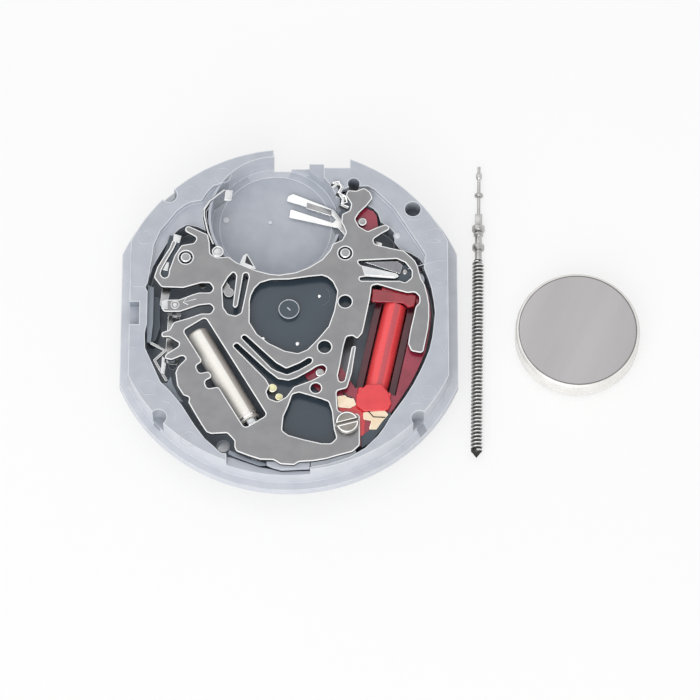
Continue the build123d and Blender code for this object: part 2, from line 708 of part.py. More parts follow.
def fifth_wheel():
    """First reduction wheel after the rotor."""
    module = module_of(rotor_shares, fifth_shares, fifth_teeth, rotor_teeth)
    facing = span(fifth_shares, rotor_shares)[1]
    return gear(fifth_shares, fifth_teeth, module, facing, web_top + fifth_rise, wheel_thick, arbor_radius)


def rotor_pinion():
    """Rotor's arbor with its six-leaf pinion."""
    module = module_of(rotor_shares, fifth_shares, fifth_teeth, rotor_teeth)
    facing = span(rotor_shares, fifth_shares)[1] + 180 / rotor_teeth
    low = web_top + fifth_rise - pinion_lap
    pinion = gear(rotor_shares, rotor_teeth, module, facing, low, wheel_thick + 2 * pinion_lap, 0)
    return pinion + arbor(rotor_shares)


def rotor_magnet():
    """Round permanent magnet on the rotor's arbor."""
    low = web_top + magnet_rise
    magnet = post(rotor_shares, magnet_radius, low, low + magnet_height)
    return magnet - post(rotor_shares, arbor_radius, low - overrun, low + magnet_height + overrun)


def stator():
    """Soft iron plate round the rotor, with an arm to each end of the coil."""
    low = web_top + stator_rise
    plate = post(rotor_shares, stator_ring_radius, low, low + stator_thick)
    plate += slab(rounded_face(upper_arm_shares, bridge_corner), low, stator_thick)
    plate += slab(rounded_face(lower_arm_shares, bridge_corner), low, stator_thick)
    return plate - post(rotor_shares, stator_hole_radius, low - overrun, low + stator_thick + overrun)


def coil_frame():
    """A plane at the coil's upper end: X across the coil, Y up, Z along it."""
    length, heading = span(coil_top_shares, coil_low_shares)
    start = place(coil_top_shares)
    across = (-math.sin(math.radians(heading)), math.cos(math.radians(heading)), 0)
    run = (math.cos(math.radians(heading)), math.sin(math.radians(heading)), 0)
    return Plane(origin=(start.X, start.Y, web_top), x_dir=across, z_dir=run), length


def coil_bar(width, low, high, start, end):
    """A bar along the coil, given above the web and along its axis."""
    frame, _ = coil_frame()
    bar = Pos(0, (low + high) / 2, (start + end) / 2) * Box(width, high - low, end - start)
    if frame.y_dir.Z < 0:
        bar = Rot(0, 0, 180) * bar
    return frame.location * bar


def coil_winding():
    """The winding: its wire is too fine to show turns, so it is a smooth barrel with a bore for the core."""
    frame, length = coil_frame()
    rise = coil_height if frame.y_dir.Z > 0 else -coil_height
    barrel = Cylinder(coil_radius, length - 2 * flange_end - 2 * running_gap)
    barrel -= Box(core_width + 2 * slip_gap, core_thick + 2 * slip_gap, length + overrun)
    return frame.location * Pos(0, rise, length / 2) * barrel


def coil_core():
    """Laminated iron strip through the winding, with a thick pad at each end on the stator."""
    _, length = coil_frame()
    stator_top = stator_rise + stator_thick
    low = coil_height - core_thick / 2
    high = coil_height + core_thick / 2
    core = coil_bar(core_width, low, high, -running_gap, length + running_gap)
    core += coil_bar(pad_width, stator_top, high, -pad_length, -running_gap)
    core += coil_bar(pad_width, stator_top, high, length + running_gap, length + pad_length)
    return core


def coil_bobbin():
    """Trough that the winding lies in, with a flange at each end."""
    _, length = coil_frame()
    low = bobbin_rise
    high = bobbin_rise + bobbin_height
    tray = coil_bar(bobbin_width, low, high, 0, length)
    inside = bobbin_width - 2 * bobbin_wall
    top = coil_height + coil_radius + overrun
    tray -= coil_bar(inside, low + bobbin_floor, top, flange_end, length - flange_end)
    slot_low = coil_height - core_thick / 2 - slip_gap
    tray -= coil_bar(core_width + 2 * slip_gap, slot_low, top, -overrun, length + overrun)
    return tray


def coil_end_caps():
    """Red lacquer over the wire's two ends, where they meet the board."""
    _, length = coil_frame()
    low = board_rise + board_thick
    high = low + cap_height
    return Compound([coil_bar(cap_width, low, high, -cap_length, -running_gap),
                     coil_bar(cap_width, low, high, length + running_gap, length + cap_length)])


def coil_slot():
    """The space that the board leaves for the coil."""
    _, length = coil_frame()
    width = bobbin_width + 2 * board_margin
    return coil_bar(width, board_rise - overrun, board_rise + overrun, -board_margin, length + board_margin)


def circuit_board():
    """Board beside the coil, with a hole for the screw's pillar."""
    low = web_top + board_rise
    board = slab(rounded_face(board_shares, board_corner), low, board_thick)
    board -= coil_slot()
    for shares in [screw_shares, plate_pin_shares[1], pillar_shares[2]]:
        board -= post(shares, screw_pillar_radius + board_margin, low - overrun, low + board_thick + overrun)
    return board


def chip():
    """Driver circuit under the board."""
    spot = place(chip_shares)
    top = web_top + board_rise
    half = chip_side / 2
    body = block(-half, half, -half, half, top - chip_height, top)
    return Pos(spot.X, spot.Y, 0) * fillet(body.edges().filter_by(Axis.Z), chip_round)


def board_contacts():
    """Brass contacts that lie on the board."""
    low = web_top + board_rise + board_thick
    return Compound([slab(rounded_face(shares, board_margin), low, contact_thick)
                     for shares in contact_shares])


def crystal_can():
    """Drawn metal can of the quartz crystal."""
    length, _ = span(crystal_head_shares, crystal_foot_shares)
    body = Cylinder(crystal_radius, length, align=standing)
    body = fillet(body.edges().group_by(Axis.Z)[0], crystal_round)
    return along(crystal_head_shares, crystal_foot_shares, web_top + crystal_height).location * body


def crystal_base():
    """Glass-sealed base of the crystal."""
    plane = along(crystal_foot_shares, crystal_head_shares, web_top + crystal_height)
    base = Cylinder(crystal_base_radius, crystal_base_length, align=hanging)
    return plane.location * base


def crystal_leads():
    """The crystal's two wires."""
    plane = along(crystal_foot_shares, crystal_head_shares, web_top + crystal_height)
    wires = []
    for side in (1, -1):
        wire = Cylinder(lead_radius, lead_length, align=hanging)
        wires.append(plane.location * Pos(0, side * lead_spread, -crystal_base_length) * wire)
    return Compound(wires)


def plus_terminal():
    """Leaf on edge that presses on the side of the cell."""
    return strip(plus_leaf_shares, leaf_thick, web_top + running_gap, leaf_height)


def minus_terminal():
    """Forked leaf that presses on the cell's lower face."""
    return slab(rounded_face(minus_shares, board_margin), web_top + minus_rise, minus_thick)


def hook_contact():
    """S-shaped leaf from the cover plate's corner to the ring."""
    return strip(hook_shares, hook_width, body_height + running_gap, hook_thick)


def setting_lever():
    """Lever that holds the stem's groove and turns about a plate pin."""
    low = web_top + lever_rise
    lever = slab(rounded_face(lever_shares, cavity_corner), low, lever_thick)
    return lever - post(plate_pin_shares[0], plate_pin_radius + slip_gap, low - overrun, low + overrun)


def yoke():
    """Lever whose tip lies over the sliding pinion's groove."""
    low = web_top + yoke_rise
    lever = slab(rounded_face(yoke_shares, cavity_corner), low, lever_thick)
    return lever - post(yoke_pivot_shares, lever_post_radius, low - overrun, low + overrun)


def reset_lever():
    """Lever that stops the train when the crown is pulled."""
    low = web_top + reset_rise
    lever = slab(rounded_face(reset_shares, cavity_corner), low, lever_thick)
    lever += post(reset_pad_shares, reset_pad_radius, low, low + lever_thick)
    return lever - post(reset_pivot_shares, lever_post_radius, low - overrun, low + overrun)


def lever_spring():
    """Zigzag spring that clicks the setting lever into its two places."""
    return strip(spring_shares, spring_width, web_top + spring_rise, spring_height)


def sliding_pinion():
    """Small pinion on the stem's axis, with the yoke's groove."""
    length = (slider_shares[1] - slider_shares[0]) * step
    module = 2 * slider_radius / (slider_teeth + 2 * tip_share)
    body = slab(toothed_face(slider_teeth, module, 0), -length / 2, length)
    groove = Cylinder(slider_radius + overrun, slider_groove)
    groove -= Cylinder(slider_neck_radius, slider_groove)
    body -= groove
    body -= Cylinder(slider_bore_radius, length + overrun)
    middle = (slider_shares[0] + slider_shares[1]) / 2 * step
    return Pos(middle, 0, stem_height) * Rot(0, 90, 0) * body


def cannon_pinion():
    """Tube that carries the minute hand, with a pinion on the dial side."""
    module = module_of((0, 0), minute_shares, cannon_teeth, minute_teeth)
    facing = 180 + 180 / cannon_teeth
    pinion = gear((0, 0), cannon_teeth, module, facing, cannon_low, cannon_high - cannon_low, 0)
    pinion += disc(cannon_tube, -hour_reach, web_top - running_gap)
    pinion += disc(cannon_seat_radius, -cannon_reach, -hour_reach)
    return pinion - disc(cannon_bore, -cannon_reach - overrun, web_top + overrun)


def minute_wheel():
    """Motion-work wheel that meets the cannon pinion and the setting wheel."""
    module = module_of((0, 0), minute_shares, cannon_teeth, minute_teeth)
    return gear(minute_shares, minute_teeth, module, 0, minute_low, motion_thick,
                arbor_radius + arbor_clearance)


def minute_pinion():
    """Pinion on the minute wheel that turns the hour wheel."""
    module = module_of((0, 0), minute_shares, hour_teeth, minute_pinion_teeth)
    facing = 180 / minute_pinion_teeth
    return gear(minute_shares, minute_pinion_teeth, module, facing, hour_low - running_gap,
                minute_low - hour_low + running_gap, arbor_radius + arbor_clearance)


def hour_wheel():
    """Wheel and tube of the hour hand."""
    module = module_of((0, 0), minute_shares, hour_teeth, minute_pinion_teeth)
    wheel = gear((0, 0), hour_teeth, module, 180, hour_low, motion_thick, 0)
    shoulder = guard_low / 2
    wheel += disc(hour_shoulder_radius, shoulder, hour_low)
    wheel += disc(hour_tube, -hour_reach, shoulder)
    return wheel - disc(hour_bore, -hour_reach - overrun, hour_low + overrun)


def setting_wheel():
    """Wheel that carries the crown's turn to the hands."""
    module = module_of((0, 0), minute_shares, cannon_teeth, minute_teeth)
    facing = 180 / setting_teeth
    return gear(setting_shares, setting_teeth, module, facing, minute_low, motion_thick,
                arbor_radius + arbor_clearance)


def transfer_place():
    """Centre of the date transfer wheel, one wheel's width from the hands' axis."""
    module = module_of((0, 0), minute_shares, hour_teeth, minute_pinion_teeth)
    reach = (hour_teeth + transfer_teeth) * module / 2
    angle = math.radians(transfer_angle)
    return (reach * math.cos(angle) / step, reach * math.sin(angle) / step)


def driver_place():
    """Centre of the date driver, beyond the transfer wheel."""
    start = transfer_place()
    angle = math.radians(transfer_angle)
    return (start[0] + driver_distance * math.cos(angle) / step,
            start[1] + driver_distance * math.sin(angle) / step)


def date_transfer_wheel():
    """Wheel and pinion between the hour wheel and the date driver."""
    module = module_of((0, 0), minute_shares, hour_teeth, minute_pinion_teeth)
    facing = transfer_angle + 180 + 180 / transfer_teeth
    wheel = gear(transfer_place(), transfer_teeth, module, facing, hour_low, motion_thick, 0)
    small = 2 * driver_distance / (transfer_pinion_teeth + driver_teeth)
    wheel += gear(transfer_place(), transfer_pinion_teeth, small, transfer_angle, hour_low + motion_thick,
                  finger_low - running_gap - hour_low - motion_thick, 0)
    return wheel - post(transfer_place(), arbor_radius + arbor_clearance, -overrun, web_top)


def date_driver():
    """Wheel that turns once a day."""
    module = 2 * driver_distance / (transfer_pinion_teeth + driver_teeth)
    facing = transfer_angle + 180 + 180 / driver_teeth
    return gear(driver_place(), driver_teeth, module, facing, driver_low, motion_thick,
                arbor_radius + arbor_clearance)


def date_finger():
    """Finger on the driver that moves the date ring on."""
    spot = place(driver_place())
    reach = date_tip_radius - finger_gap - spot.length
    arm = block(0, reach, -finger_width / 2, finger_width / 2, finger_low, finger_low + finger_thick)
    arm += disc(finger_hub_radius, driver_low + motion_thick, finger_low + finger_thick)
    arm -= disc(arbor_radius + arbor_clearance, -overrun, web_top)
    return Pos(spot.X, spot.Y, 0) * Rot(0, 0, finger_angle) * arm


def date_ring():
    """Ring with 31 inner teeth."""
    pitch = 2 * math.pi / date_teeth
    points = []
    for i in range(date_teeth):
        for radius, share in [(date_root_radius, -root_width_share), (date_tip_radius, -tip_width_share),
                              (date_tip_radius, tip_width_share), (date_root_radius, root_width_share)]:
            angle = (i + share) * pitch
            points.append((radius * math.cos(angle), radius * math.sin(angle)))
    ring = Circle(date_outer_radius) - make_face(Polyline(*points, close=True))
    return slab(ring, date_low, date_thick)


def date_jumper():
    """Spring that holds the date ring between steps."""
    low = date_low + running_gap
    arm = slab(rounded_face(jumper_shares, board_margin), low, motion_thick)
    return arm - post(jumper_post_shares, arbor_radius + arbor_clearance, -overrun, web_top)


def date_guard():
    """Thin steel plate that keeps the date ring and the wheels in."""
    plate = disc(guard_radius, guard_low, guard_low + guard_thick)
    plate -= disc(guard_hole_radius, -overrun, web_top)
    for shares in guard_screw_shares:
        top = guard_low + guard_head_height / 2
        plate -= post(shares, guard_head_radius + arbor_clearance, -overrun, top)
        plate -= post(shares, guard_screw_radius + arbor_clearance, -overrun, web_top)
    return plate


def guard_screws():
    """Countersunk screws of the date guard."""
    screws = []
    for shares in guard_screw_shares:
        top = guard_low + guard_head_height / 2
        screw = post(shares, guard_head_radius, guard_low - guard_head_height / 2, top)
        screw += post(shares, guard_screw_radius, top, web_top - 2 * running_gap)
        screws.append(screw)
    return Compound(screws)


def date_posts():
    """Studs that the transfer wheel and the driver turn on."""
    studs = [post(shares, arbor_radius, hour_low, dial_recess_depth)
             for shares in [transfer_place(), driver_place()]]
    return Compound(studs)


def square_flats():
    """What is milled off the stem to leave its square."""
    names = [stretch[0] for stretch in stem_stretches]
    at = names.index("square")
    start = sum(stretch[1] for stretch in stem_stretches[:at])
    run = stem_stretches[at][1]
    shell = disc(stem_hole_radius, start, start + run)
    half = square_side / 2
    return shell - block(-half, half, -half, half, start, start + run)


def stem():
    """The setting stem: pilot, square, hub and a long thread, turned in one piece."""
    length, _ = span(stem_top_shares, stem_foot_shares)
    outline = [(0, 0)]
    level = 0
    for _, run, radius in stem_stretches:
        outline.append((radius, level))
        level += run
        outline.append((radius, level))
    outline.append((thread_root_radius, level))
    count = int((length - level - thread_point) / thread_pitch)
    for _ in range(count):
        outline.append((thread_radius, level + thread_pitch / 2))
        level += thread_pitch
        outline.append((thread_root_radius, level))
    outline.append((0, length))
    wire = Polyline(*[(x, 0, z) for x, z in outline], close=True)
    body = revolve(make_face(wire), Axis.Z) - square_flats()
    height = floor_level + max(stretch[2] for stretch in stem_stretches)
    return along(stem_top_shares, stem_foot_shares, height).location * body


def cell_at(body):
    """Moves a piece of the button cell to where the cell lies."""
    spot = place(cell_shares)
    return Pos(spot.X, spot.Y, floor_level) * body


def cell_can():
    """Steel can of the cell: flat plus side up, open side down."""
    low = cap_stand
    body = disc(cell_radius, low, cell_height)
    body = fillet(body.edges().group_by(Axis.Z)[-1], cell_edge)
    body -= disc(cell_radius - cell_wall, low - overrun, cell_height - cell_wall)
    return cell_at(body)


def cell_gasket():
    """Insulating ring between the can and the cap."""
    low = cap_stand / 2
    outer = cell_radius - cell_wall - running_gap
    body = disc(outer, low, cell_height - cell_wall - running_gap)
    return cell_at(body - disc(cap_radius + running_gap, low - overrun, cell_height))


def cell_cap():
    """Minus cap and what it holds, on the cell's lower side."""
    body = disc(cap_radius, 0, cell_height - cell_wall - running_gap)
    return cell_at(chamfer(body.edges().group_by(Axis.Z)[0], cap_edge))


pieces = {
    "main_plate": main_plate, "cover_plate": cover_plate, "cover_screw": cover_screw,
    "plate_pins": plate_pins, "contact_pins": contact_pins, "train_bridge": train_bridge,
    "stem_guide": stem_guide, "center_wheel": center_wheel, "third_pinion": third_pinion,
    "third_wheel": third_wheel, "seconds_arbor": seconds_arbor, "seconds_wheel": seconds_wheel,
    "fifth_pinion": fifth_pinion, "fifth_wheel": fifth_wheel, "rotor_pinion": rotor_pinion,
    "rotor_magnet": rotor_magnet, "stator": stator, "coil_winding": coil_winding,
    "coil_core": coil_core, "coil_bobbin": coil_bobbin, "coil_end_caps": coil_end_caps,
    "circuit_board": circuit_board, "chip": chip, "board_contacts": board_contacts,
    "crystal_can": crystal_can, "crystal_base": crystal_base, "crystal_leads": crystal_leads,
    "plus_terminal": plus_terminal, "minus_terminal": minus_terminal, "hook_contact": hook_contact,
    "setting_lever": setting_lever, "yoke": yoke, "reset_lever": reset_lever,
    "lever_spring": lever_spring, "sliding_pinion": sliding_pinion, "cannon_pinion": cannon_pinion,
    "minute_wheel": minute_wheel, "minute_pinion": minute_pinion, "hour_wheel": hour_wheel,
    "setting_wheel": setting_wheel, "date_transfer_wheel": date_transfer_wheel,
    "date_driver": date_driver, "date_finger": date_finger, "date_ring": date_ring,
    "date_jumper": date_jumper, "date_guard": date_guard, "guard_screws": guard_screws,
    "date_posts": date_posts, "stem": stem, "cell_can": cell_can, "cell_gasket": cell_gasket,
    "cell_cap": cell_cap,
}

for name, make in pieces.items():
    export_step(make(), f"parts/{name}.step")
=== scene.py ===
# %% [markdown]
# A quartz watch movement, back up, lies on a pale table with its setting stem and its button cell beside it.
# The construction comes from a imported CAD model: every piece already has its size and its place.
# This lesson dresses those pieces. Most of them are stamped or moulded parts whose sharp CAD edges make them
# look like paper, so the first tool that we build rounds their edges and gives the round its own finish.
# Then the pieces that need more than a rounded edge are modelled again: the stem's screw thread, the
# winding, the button cell and the small marks on the ring.

# %% Load the frame
import json
import math

import bmesh
import bpy
from mathutils import Matrix, Vector


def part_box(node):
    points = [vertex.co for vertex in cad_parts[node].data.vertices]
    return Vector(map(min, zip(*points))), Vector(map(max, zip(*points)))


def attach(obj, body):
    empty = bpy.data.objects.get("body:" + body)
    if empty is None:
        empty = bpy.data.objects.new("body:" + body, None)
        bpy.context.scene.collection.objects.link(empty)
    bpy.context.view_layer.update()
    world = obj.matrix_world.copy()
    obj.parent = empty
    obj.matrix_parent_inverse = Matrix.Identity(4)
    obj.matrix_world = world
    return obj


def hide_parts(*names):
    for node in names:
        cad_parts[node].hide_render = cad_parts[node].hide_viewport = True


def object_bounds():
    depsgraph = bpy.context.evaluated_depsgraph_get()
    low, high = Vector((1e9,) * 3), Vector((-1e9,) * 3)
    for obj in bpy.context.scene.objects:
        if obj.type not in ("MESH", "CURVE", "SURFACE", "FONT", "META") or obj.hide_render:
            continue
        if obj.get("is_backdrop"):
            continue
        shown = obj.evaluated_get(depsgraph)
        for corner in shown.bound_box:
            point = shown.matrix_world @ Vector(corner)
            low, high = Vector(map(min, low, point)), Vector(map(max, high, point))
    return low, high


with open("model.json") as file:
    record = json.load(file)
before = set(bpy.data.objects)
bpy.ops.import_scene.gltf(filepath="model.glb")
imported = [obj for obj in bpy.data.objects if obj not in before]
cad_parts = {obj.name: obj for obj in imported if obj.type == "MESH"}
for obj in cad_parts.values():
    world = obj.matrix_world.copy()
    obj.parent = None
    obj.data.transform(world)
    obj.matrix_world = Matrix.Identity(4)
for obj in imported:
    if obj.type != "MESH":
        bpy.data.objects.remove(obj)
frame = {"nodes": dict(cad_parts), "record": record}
cad_low, cad_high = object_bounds()
mm = 0.001
bodies = frame["record"]["behaviour"]["bodies"]
body_of_node = {node: body for body, nodes in bodies.items() for node in nodes}
slot_of_node = {part["node"]: part["material_slot"] for part in frame["record"]["subparts"]}
print("CAD box in mm:", [round(value / mm, 2) for value in (*cad_low, *cad_high)])

# %% [markdown]
# The camera looks down steeply, 67 degrees above the table, from far enough away that a watch movement shows
# almost no perspective. The lens follows from the distance and from how many pixels a millimetre takes in
# the picture. The point in the picture's centre follows from the pixel of the hands' axis, the middle of the
# frame.

# %% Camera
view_rise = math.radians(67)
view_distance = 320 * mm
picture_width = 700
pixels_per_mm = 13.16
hands_column = 289.3
hands_row = 323.9
sensor_width = 36

middle = picture_width / 2
target = Vector(((middle - hands_column) / pixels_per_mm * mm,
                 (hands_row - middle) / (pixels_per_mm * math.sin(view_rise)) * mm, 0))
back = Vector((0, -math.cos(view_rise), math.sin(view_rise)))
camera = bpy.data.objects.new("camera", bpy.data.cameras.new("camera"))
camera.data.sensor_width = sensor_width
camera.data.lens = pixels_per_mm * view_distance / mm / picture_width * sensor_width
camera.data.clip_start = 10 * mm
camera.data.clip_end = 10
camera.location = target + back * view_distance
camera.rotation_mode = "QUATERNION"
camera.rotation_quaternion = (-back).to_track_quat("-Z", "Y")
bpy.context.scene.collection.objects.link(camera)
bpy.context.scene.camera = camera
bpy.context.scene.view_settings.view_transform = "Standard"
print("lens in mm:", round(camera.data.lens, 1))

# %% [markdown]
# Colours are easiest to judge as they look on a screen, from 0 to 255, but shaders work with linear light.
# This small helper turns one into the other.

# %% Tones
def tone(red, green, blue):
    """A screen colour as linear light, with full opacity."""
    linear = []
    for value in (red, green, blue):
        level = value / 255
        linear.append(level / 12.92 if level <= 0.04045 else ((level + 0.055) / 1.055) ** 2.4)
    return (*linear, 1)


print("mid grey as linear light:", round(tone(128, 128, 128)[0], 3))

# %% [markdown]
# Every finish here is built from three effects, and each is a node group, so that one change reaches all
# materials. The first clouds a colour: no moulded or stamped face has exactly one tone. The second is the
# fine grain of a blasted or moulded face, which also makes the gloss uneven. The third draws streaks along
# one direction, as on a drawn can or a wound coil.

# %% Node groups
def new_group(name, inputs, outputs):
    """An empty shader group with its sockets, and its two end nodes."""
    group = bpy.data.node_groups.new(name, "ShaderNodeTree")
    for label, kind in inputs:
        group.interface.new_socket(label, in_out="INPUT", socket_type=kind)
    for label, kind in outputs:
        group.interface.new_socket(label, in_out="OUTPUT", socket_type=kind)
    return group, group.nodes.new("NodeGroupInput"), group.nodes.new("NodeGroupOutput")


def noise_in(group, detail):
    """A noise texture in a group, in the object's own metres."""
    place = group.nodes.new("ShaderNodeTexCoord")
    noise = group.nodes.new("ShaderNodeTexNoise")
    noise.inputs["Detail"].default_value = detail
    group.links.new(place.outputs["Object"], noise.inputs["Vector"])
    return noise


def cloud_group():
    """Mixes two tones by soft clouds."""
    group, start, end = new_group(
        "clouded_tone",
        [("Tone", "NodeSocketColor"), ("Second tone", "NodeSocketColor"),
         ("Clouds per metre", "NodeSocketFloat")],
        [("Colour", "NodeSocketColor")])
    noise = noise_in(group, 4)
    spread = group.nodes.new("ShaderNodeMapRange")
    spread.inputs["From Min"].default_value = 0.35
    spread.inputs["From Max"].default_value = 0.65
    mix = group.nodes.new("ShaderNodeMix")
    mix.data_type = "RGBA"
    group.links.new(start.outputs["Clouds per metre"], noise.inputs["Scale"])
    group.links.new(noise.outputs["Fac"], spread.inputs["Value"])
    group.links.new(spread.outputs["Result"], mix.inputs["Factor"])
    group.links.new(start.outputs["Tone"], mix.inputs["A"])
    group.links.new(start.outputs["Second tone"], mix.inputs["B"])
    group.links.new(mix.outputs["Result"], end.inputs["Colour"])
    return group


def grain_group():
    """Fine grain: a height for the bump, and a roughness that varies with it."""
    group, start, end = new_group(
        "fine_grain",
        [("Grains per metre", "NodeSocketFloat"), ("Least roughness", "NodeSocketFloat"),
         ("Most roughness", "NodeSocketFloat")],
        [("Roughness", "NodeSocketFloat"), ("Height", "NodeSocketFloat")])
    noise = noise_in(group, 2)
    spread = group.nodes.new("ShaderNodeMapRange")
    spread.inputs["From Min"].default_value = 0.3
    spread.inputs["From Max"].default_value = 0.7
    group.links.new(start.outputs["Grains per metre"], noise.inputs["Scale"])
    group.links.new(noise.outputs["Fac"], spread.inputs["Value"])
    group.links.new(start.outputs["Least roughness"], spread.inputs["To Min"])
    group.links.new(start.outputs["Most roughness"], spread.inputs["To Max"])
    group.links.new(spread.outputs["Result"], end.inputs["Roughness"])
    group.links.new(noise.outputs["Fac"], end.inputs["Height"])
    return group


def streak_group():
    """Long thin streaks along one direction in plan: a mask from 0 to 1."""
    group, start, end = new_group(
        "drawn_streaks",
        [("Turn", "NodeSocketVector"), ("Stretch", "NodeSocketVector"),
         ("Streaks per metre", "NodeSocketFloat")],
        [("Mask", "NodeSocketFloat")])
    place = group.nodes.new("ShaderNodeTexCoord")
    turned = group.nodes.new("ShaderNodeMapping")
    long = group.nodes.new("ShaderNodeMapping")
    noise = group.nodes.new("ShaderNodeTexNoise")
    noise.inputs["Detail"].default_value = 3
    spread = group.nodes.new("ShaderNodeMapRange")
    spread.inputs["From Min"].default_value = 0.35
    spread.inputs["From Max"].default_value = 0.65
    group.links.new(place.outputs["Object"], turned.inputs["Vector"])
    group.links.new(start.outputs["Turn"], turned.inputs["Rotation"])
    group.links.new(turned.outputs["Vector"], long.inputs["Vector"])
    group.links.new(start.outputs["Stretch"], long.inputs["Scale"])
    group.links.new(long.outputs["Vector"], noise.inputs["Vector"])
    group.links.new(start.outputs["Streaks per metre"], noise.inputs["Scale"])
    group.links.new(noise.outputs["Fac"], spread.inputs["Value"])
    group.links.new(spread.outputs["Result"], end.inputs["Mask"])
    return group


clouded_tone = cloud_group()
fine_grain = grain_group()
drawn_streaks = streak_group()
print("node groups:", [group.name for group in bpy.data.node_groups])

# %% [markdown]
# One function now makes any plain finish from those groups. It takes two close tones, the size of the
# clouds and of the grain, the range of the roughness, and how deep the grain is.

# %% Plain finishes
finishes = {}


def place_group(tree, group, values):
    """Puts a group in a material and sets its inputs."""
    node = tree.nodes.new("ShaderNodeGroup")
    node.node_tree = group
    for label, value in values.items():
        node.inputs[label].default_value = value
    return node


def finish(name, light, dark, rough, metal=0.0, clouds=900, grains=14000, depth=0.0015, coat=0.0):
    """A material with clouded tone, uneven gloss and a fine grain."""
    material = bpy.data.materials.new(name)
    material.use_nodes = True
    tree = material.node_tree
    shader = tree.nodes["Principled BSDF"]
    shader.inputs["Metallic"].default_value = metal
    shader.inputs["Coat Weight"].default_value = coat
    cloud = place_group(tree, clouded_tone, {"Tone": light, "Second tone": dark, "Clouds per metre": clouds})
    grain = place_group(tree, fine_grain, {"Grains per metre": grains, "Least roughness": rough[0],
                                           "Most roughness": rough[1]})
    bump = tree.nodes.new("ShaderNodeBump")
    bump.inputs["Distance"].default_value = depth * mm
    tree.links.new(cloud.outputs["Colour"], shader.inputs["Base Color"])
    tree.links.new(grain.outputs["Roughness"], shader.inputs["Roughness"])
    tree.links.new(grain.outputs["Height"], bump.inputs["Height"])
    tree.links.new(bump.outputs["Normal"], shader.inputs["Normal"])
    finishes[name] = material
    return material


finish("ring_plastic", tone(188, 193, 202), tone(180, 185, 195), (0.35, 0.5), depth=0.002)
# A lighter ring finish for the rounded edges: a painted highlight.
finish("ring_edge_painted_highlight", tone(226, 229, 233), tone(214, 218, 224), (0.25, 0.4))
# A lighter ring finish for the flange and the outer wall: a painted highlight.
finish("flange_painted_light", tone(206, 209, 216), tone(198, 202, 210), (0.35, 0.5), depth=0.002)
# Darker ring finishes for the pockets and for the deep hollows: painted shade.
finish("pocket_shade", tone(168, 173, 181), tone(156, 161, 170), (0.35, 0.5))
finish("cavity_painted_shade", tone(146, 154, 164), tone(136, 144, 154), (0.35, 0.5))
# A lighter ring finish for fine lines and marks: a painted highlight.
finish("ring_line_painted_highlight", tone(208, 212, 219), tone(196, 200, 208), (0.25, 0.4))
finish("slate_plastic", tone(63, 75, 86), tone(59, 71, 82), (0.2, 0.24), clouds=300, grains=4000,
       depth=0.0001)
# A lighter slate finish for rounded edges: a painted highlight.
finish("slate_edge_painted_highlight", tone(128, 140, 150), tone(104, 116, 126), (0.15, 0.25))
finish("stamped_steel", tone(142, 142, 143), tone(135, 135, 137), (0.36, 0.46), metal=1.0, depth=0.0008)
# A near-white finish for the plate's edge band, a painted highlight, and a dark one for its cut wall, painted
# shade.
finish("stamped_edge_painted_highlight", tone(252, 252, 252), tone(238, 239, 240), (0.25, 0.38), metal=0.15, depth=0.0005)
finish("stamped_wall_painted_shade", tone(60, 60, 62), tone(44, 44, 46), (0.4, 0.5), metal=0.8)
finish("pin_steel", tone(168, 168, 168), tone(146, 146, 148), (0.25, 0.38), metal=1.0, depth=0.001)
finish("screw_face", tone(146, 142, 136), tone(128, 125, 120), (0.25, 0.36), metal=1.0, depth=0.0006)
finish("bright_steel", tone(206, 207, 208), tone(190, 192, 194), (0.2, 0.28), metal=1.0, grains=5000,
       depth=0.0003)
# A near-white finish for rounded edges, rims, pivots, collars and the bow: a painted highlight.
finish("bright_edge_painted_highlight", tone(250, 250, 250), tone(236, 237, 238), (0.15, 0.25), metal=1.0, depth=0.0004)
# A near-white copy of the terminal steel for the prongs: a painted highlight.
finish("prong_painted_highlight", tone(242, 242, 241), tone(232, 232, 231), (0.2, 0.26), metal=0.7, grains=5000,
       depth=0.0002)
finish("pale_brass", tone(238, 222, 198), tone(226, 204, 174), (0.24, 0.3), metal=0.6, grains=3000,
       depth=0.0002)
finish("pin_brass", tone(214, 212, 170), tone(186, 182, 132), (0.2, 0.34), metal=1.0, depth=0.001)
# A pale finish for the brass edges: a painted highlight.
finish("brass_edge_painted_highlight", tone(250, 240, 222), tone(240, 226, 202), (0.15, 0.25), metal=1.0, depth=0.0005)
finish("red_board", tone(158, 44, 68), tone(138, 34, 56), (0.2, 0.34), coat=0.4, depth=0.0008)
# A lighter board finish for its edges: a painted highlight.
finish("red_board_edge_painted_highlight", tone(205, 84, 100), tone(176, 60, 78), (0.2, 0.3), coat=0.4)
finish("red_lacquer", tone(236, 44, 54), tone(222, 30, 44), (0.12, 0.24), coat=0.6, depth=0.003, grains=5000)
finish("dark_lacquer", tone(168, 28, 46), tone(140, 18, 38), (0.12, 0.24), coat=0.6, depth=0.003, grains=5000)
finish("maroon_plastic", tone(84, 26, 40), tone(66, 18, 30), (0.2, 0.32), coat=0.2)
# A lighter bobbin finish for its edges: a painted highlight.
finish("maroon_edge_painted_highlight", tone(128, 54, 68), tone(104, 40, 54), (0.2, 0.3))
finish("black_resin", tone(24, 24, 26), tone(18, 18, 20), (0.15, 0.3))
finish("soft_iron", tone(140, 140, 144), tone(122, 122, 128), (0.35, 0.5), metal=1.0)
finish("magnet_grey", tone(70, 70, 72), tone(56, 56, 60), (0.4, 0.6), metal=0.6)
finish("gasket_grey", tone(60, 62, 64), tone(50, 52, 54), (0.35, 0.5))
finish("white_plastic", tone(214, 216, 216), tone(200, 203, 205), (0.35, 0.5))
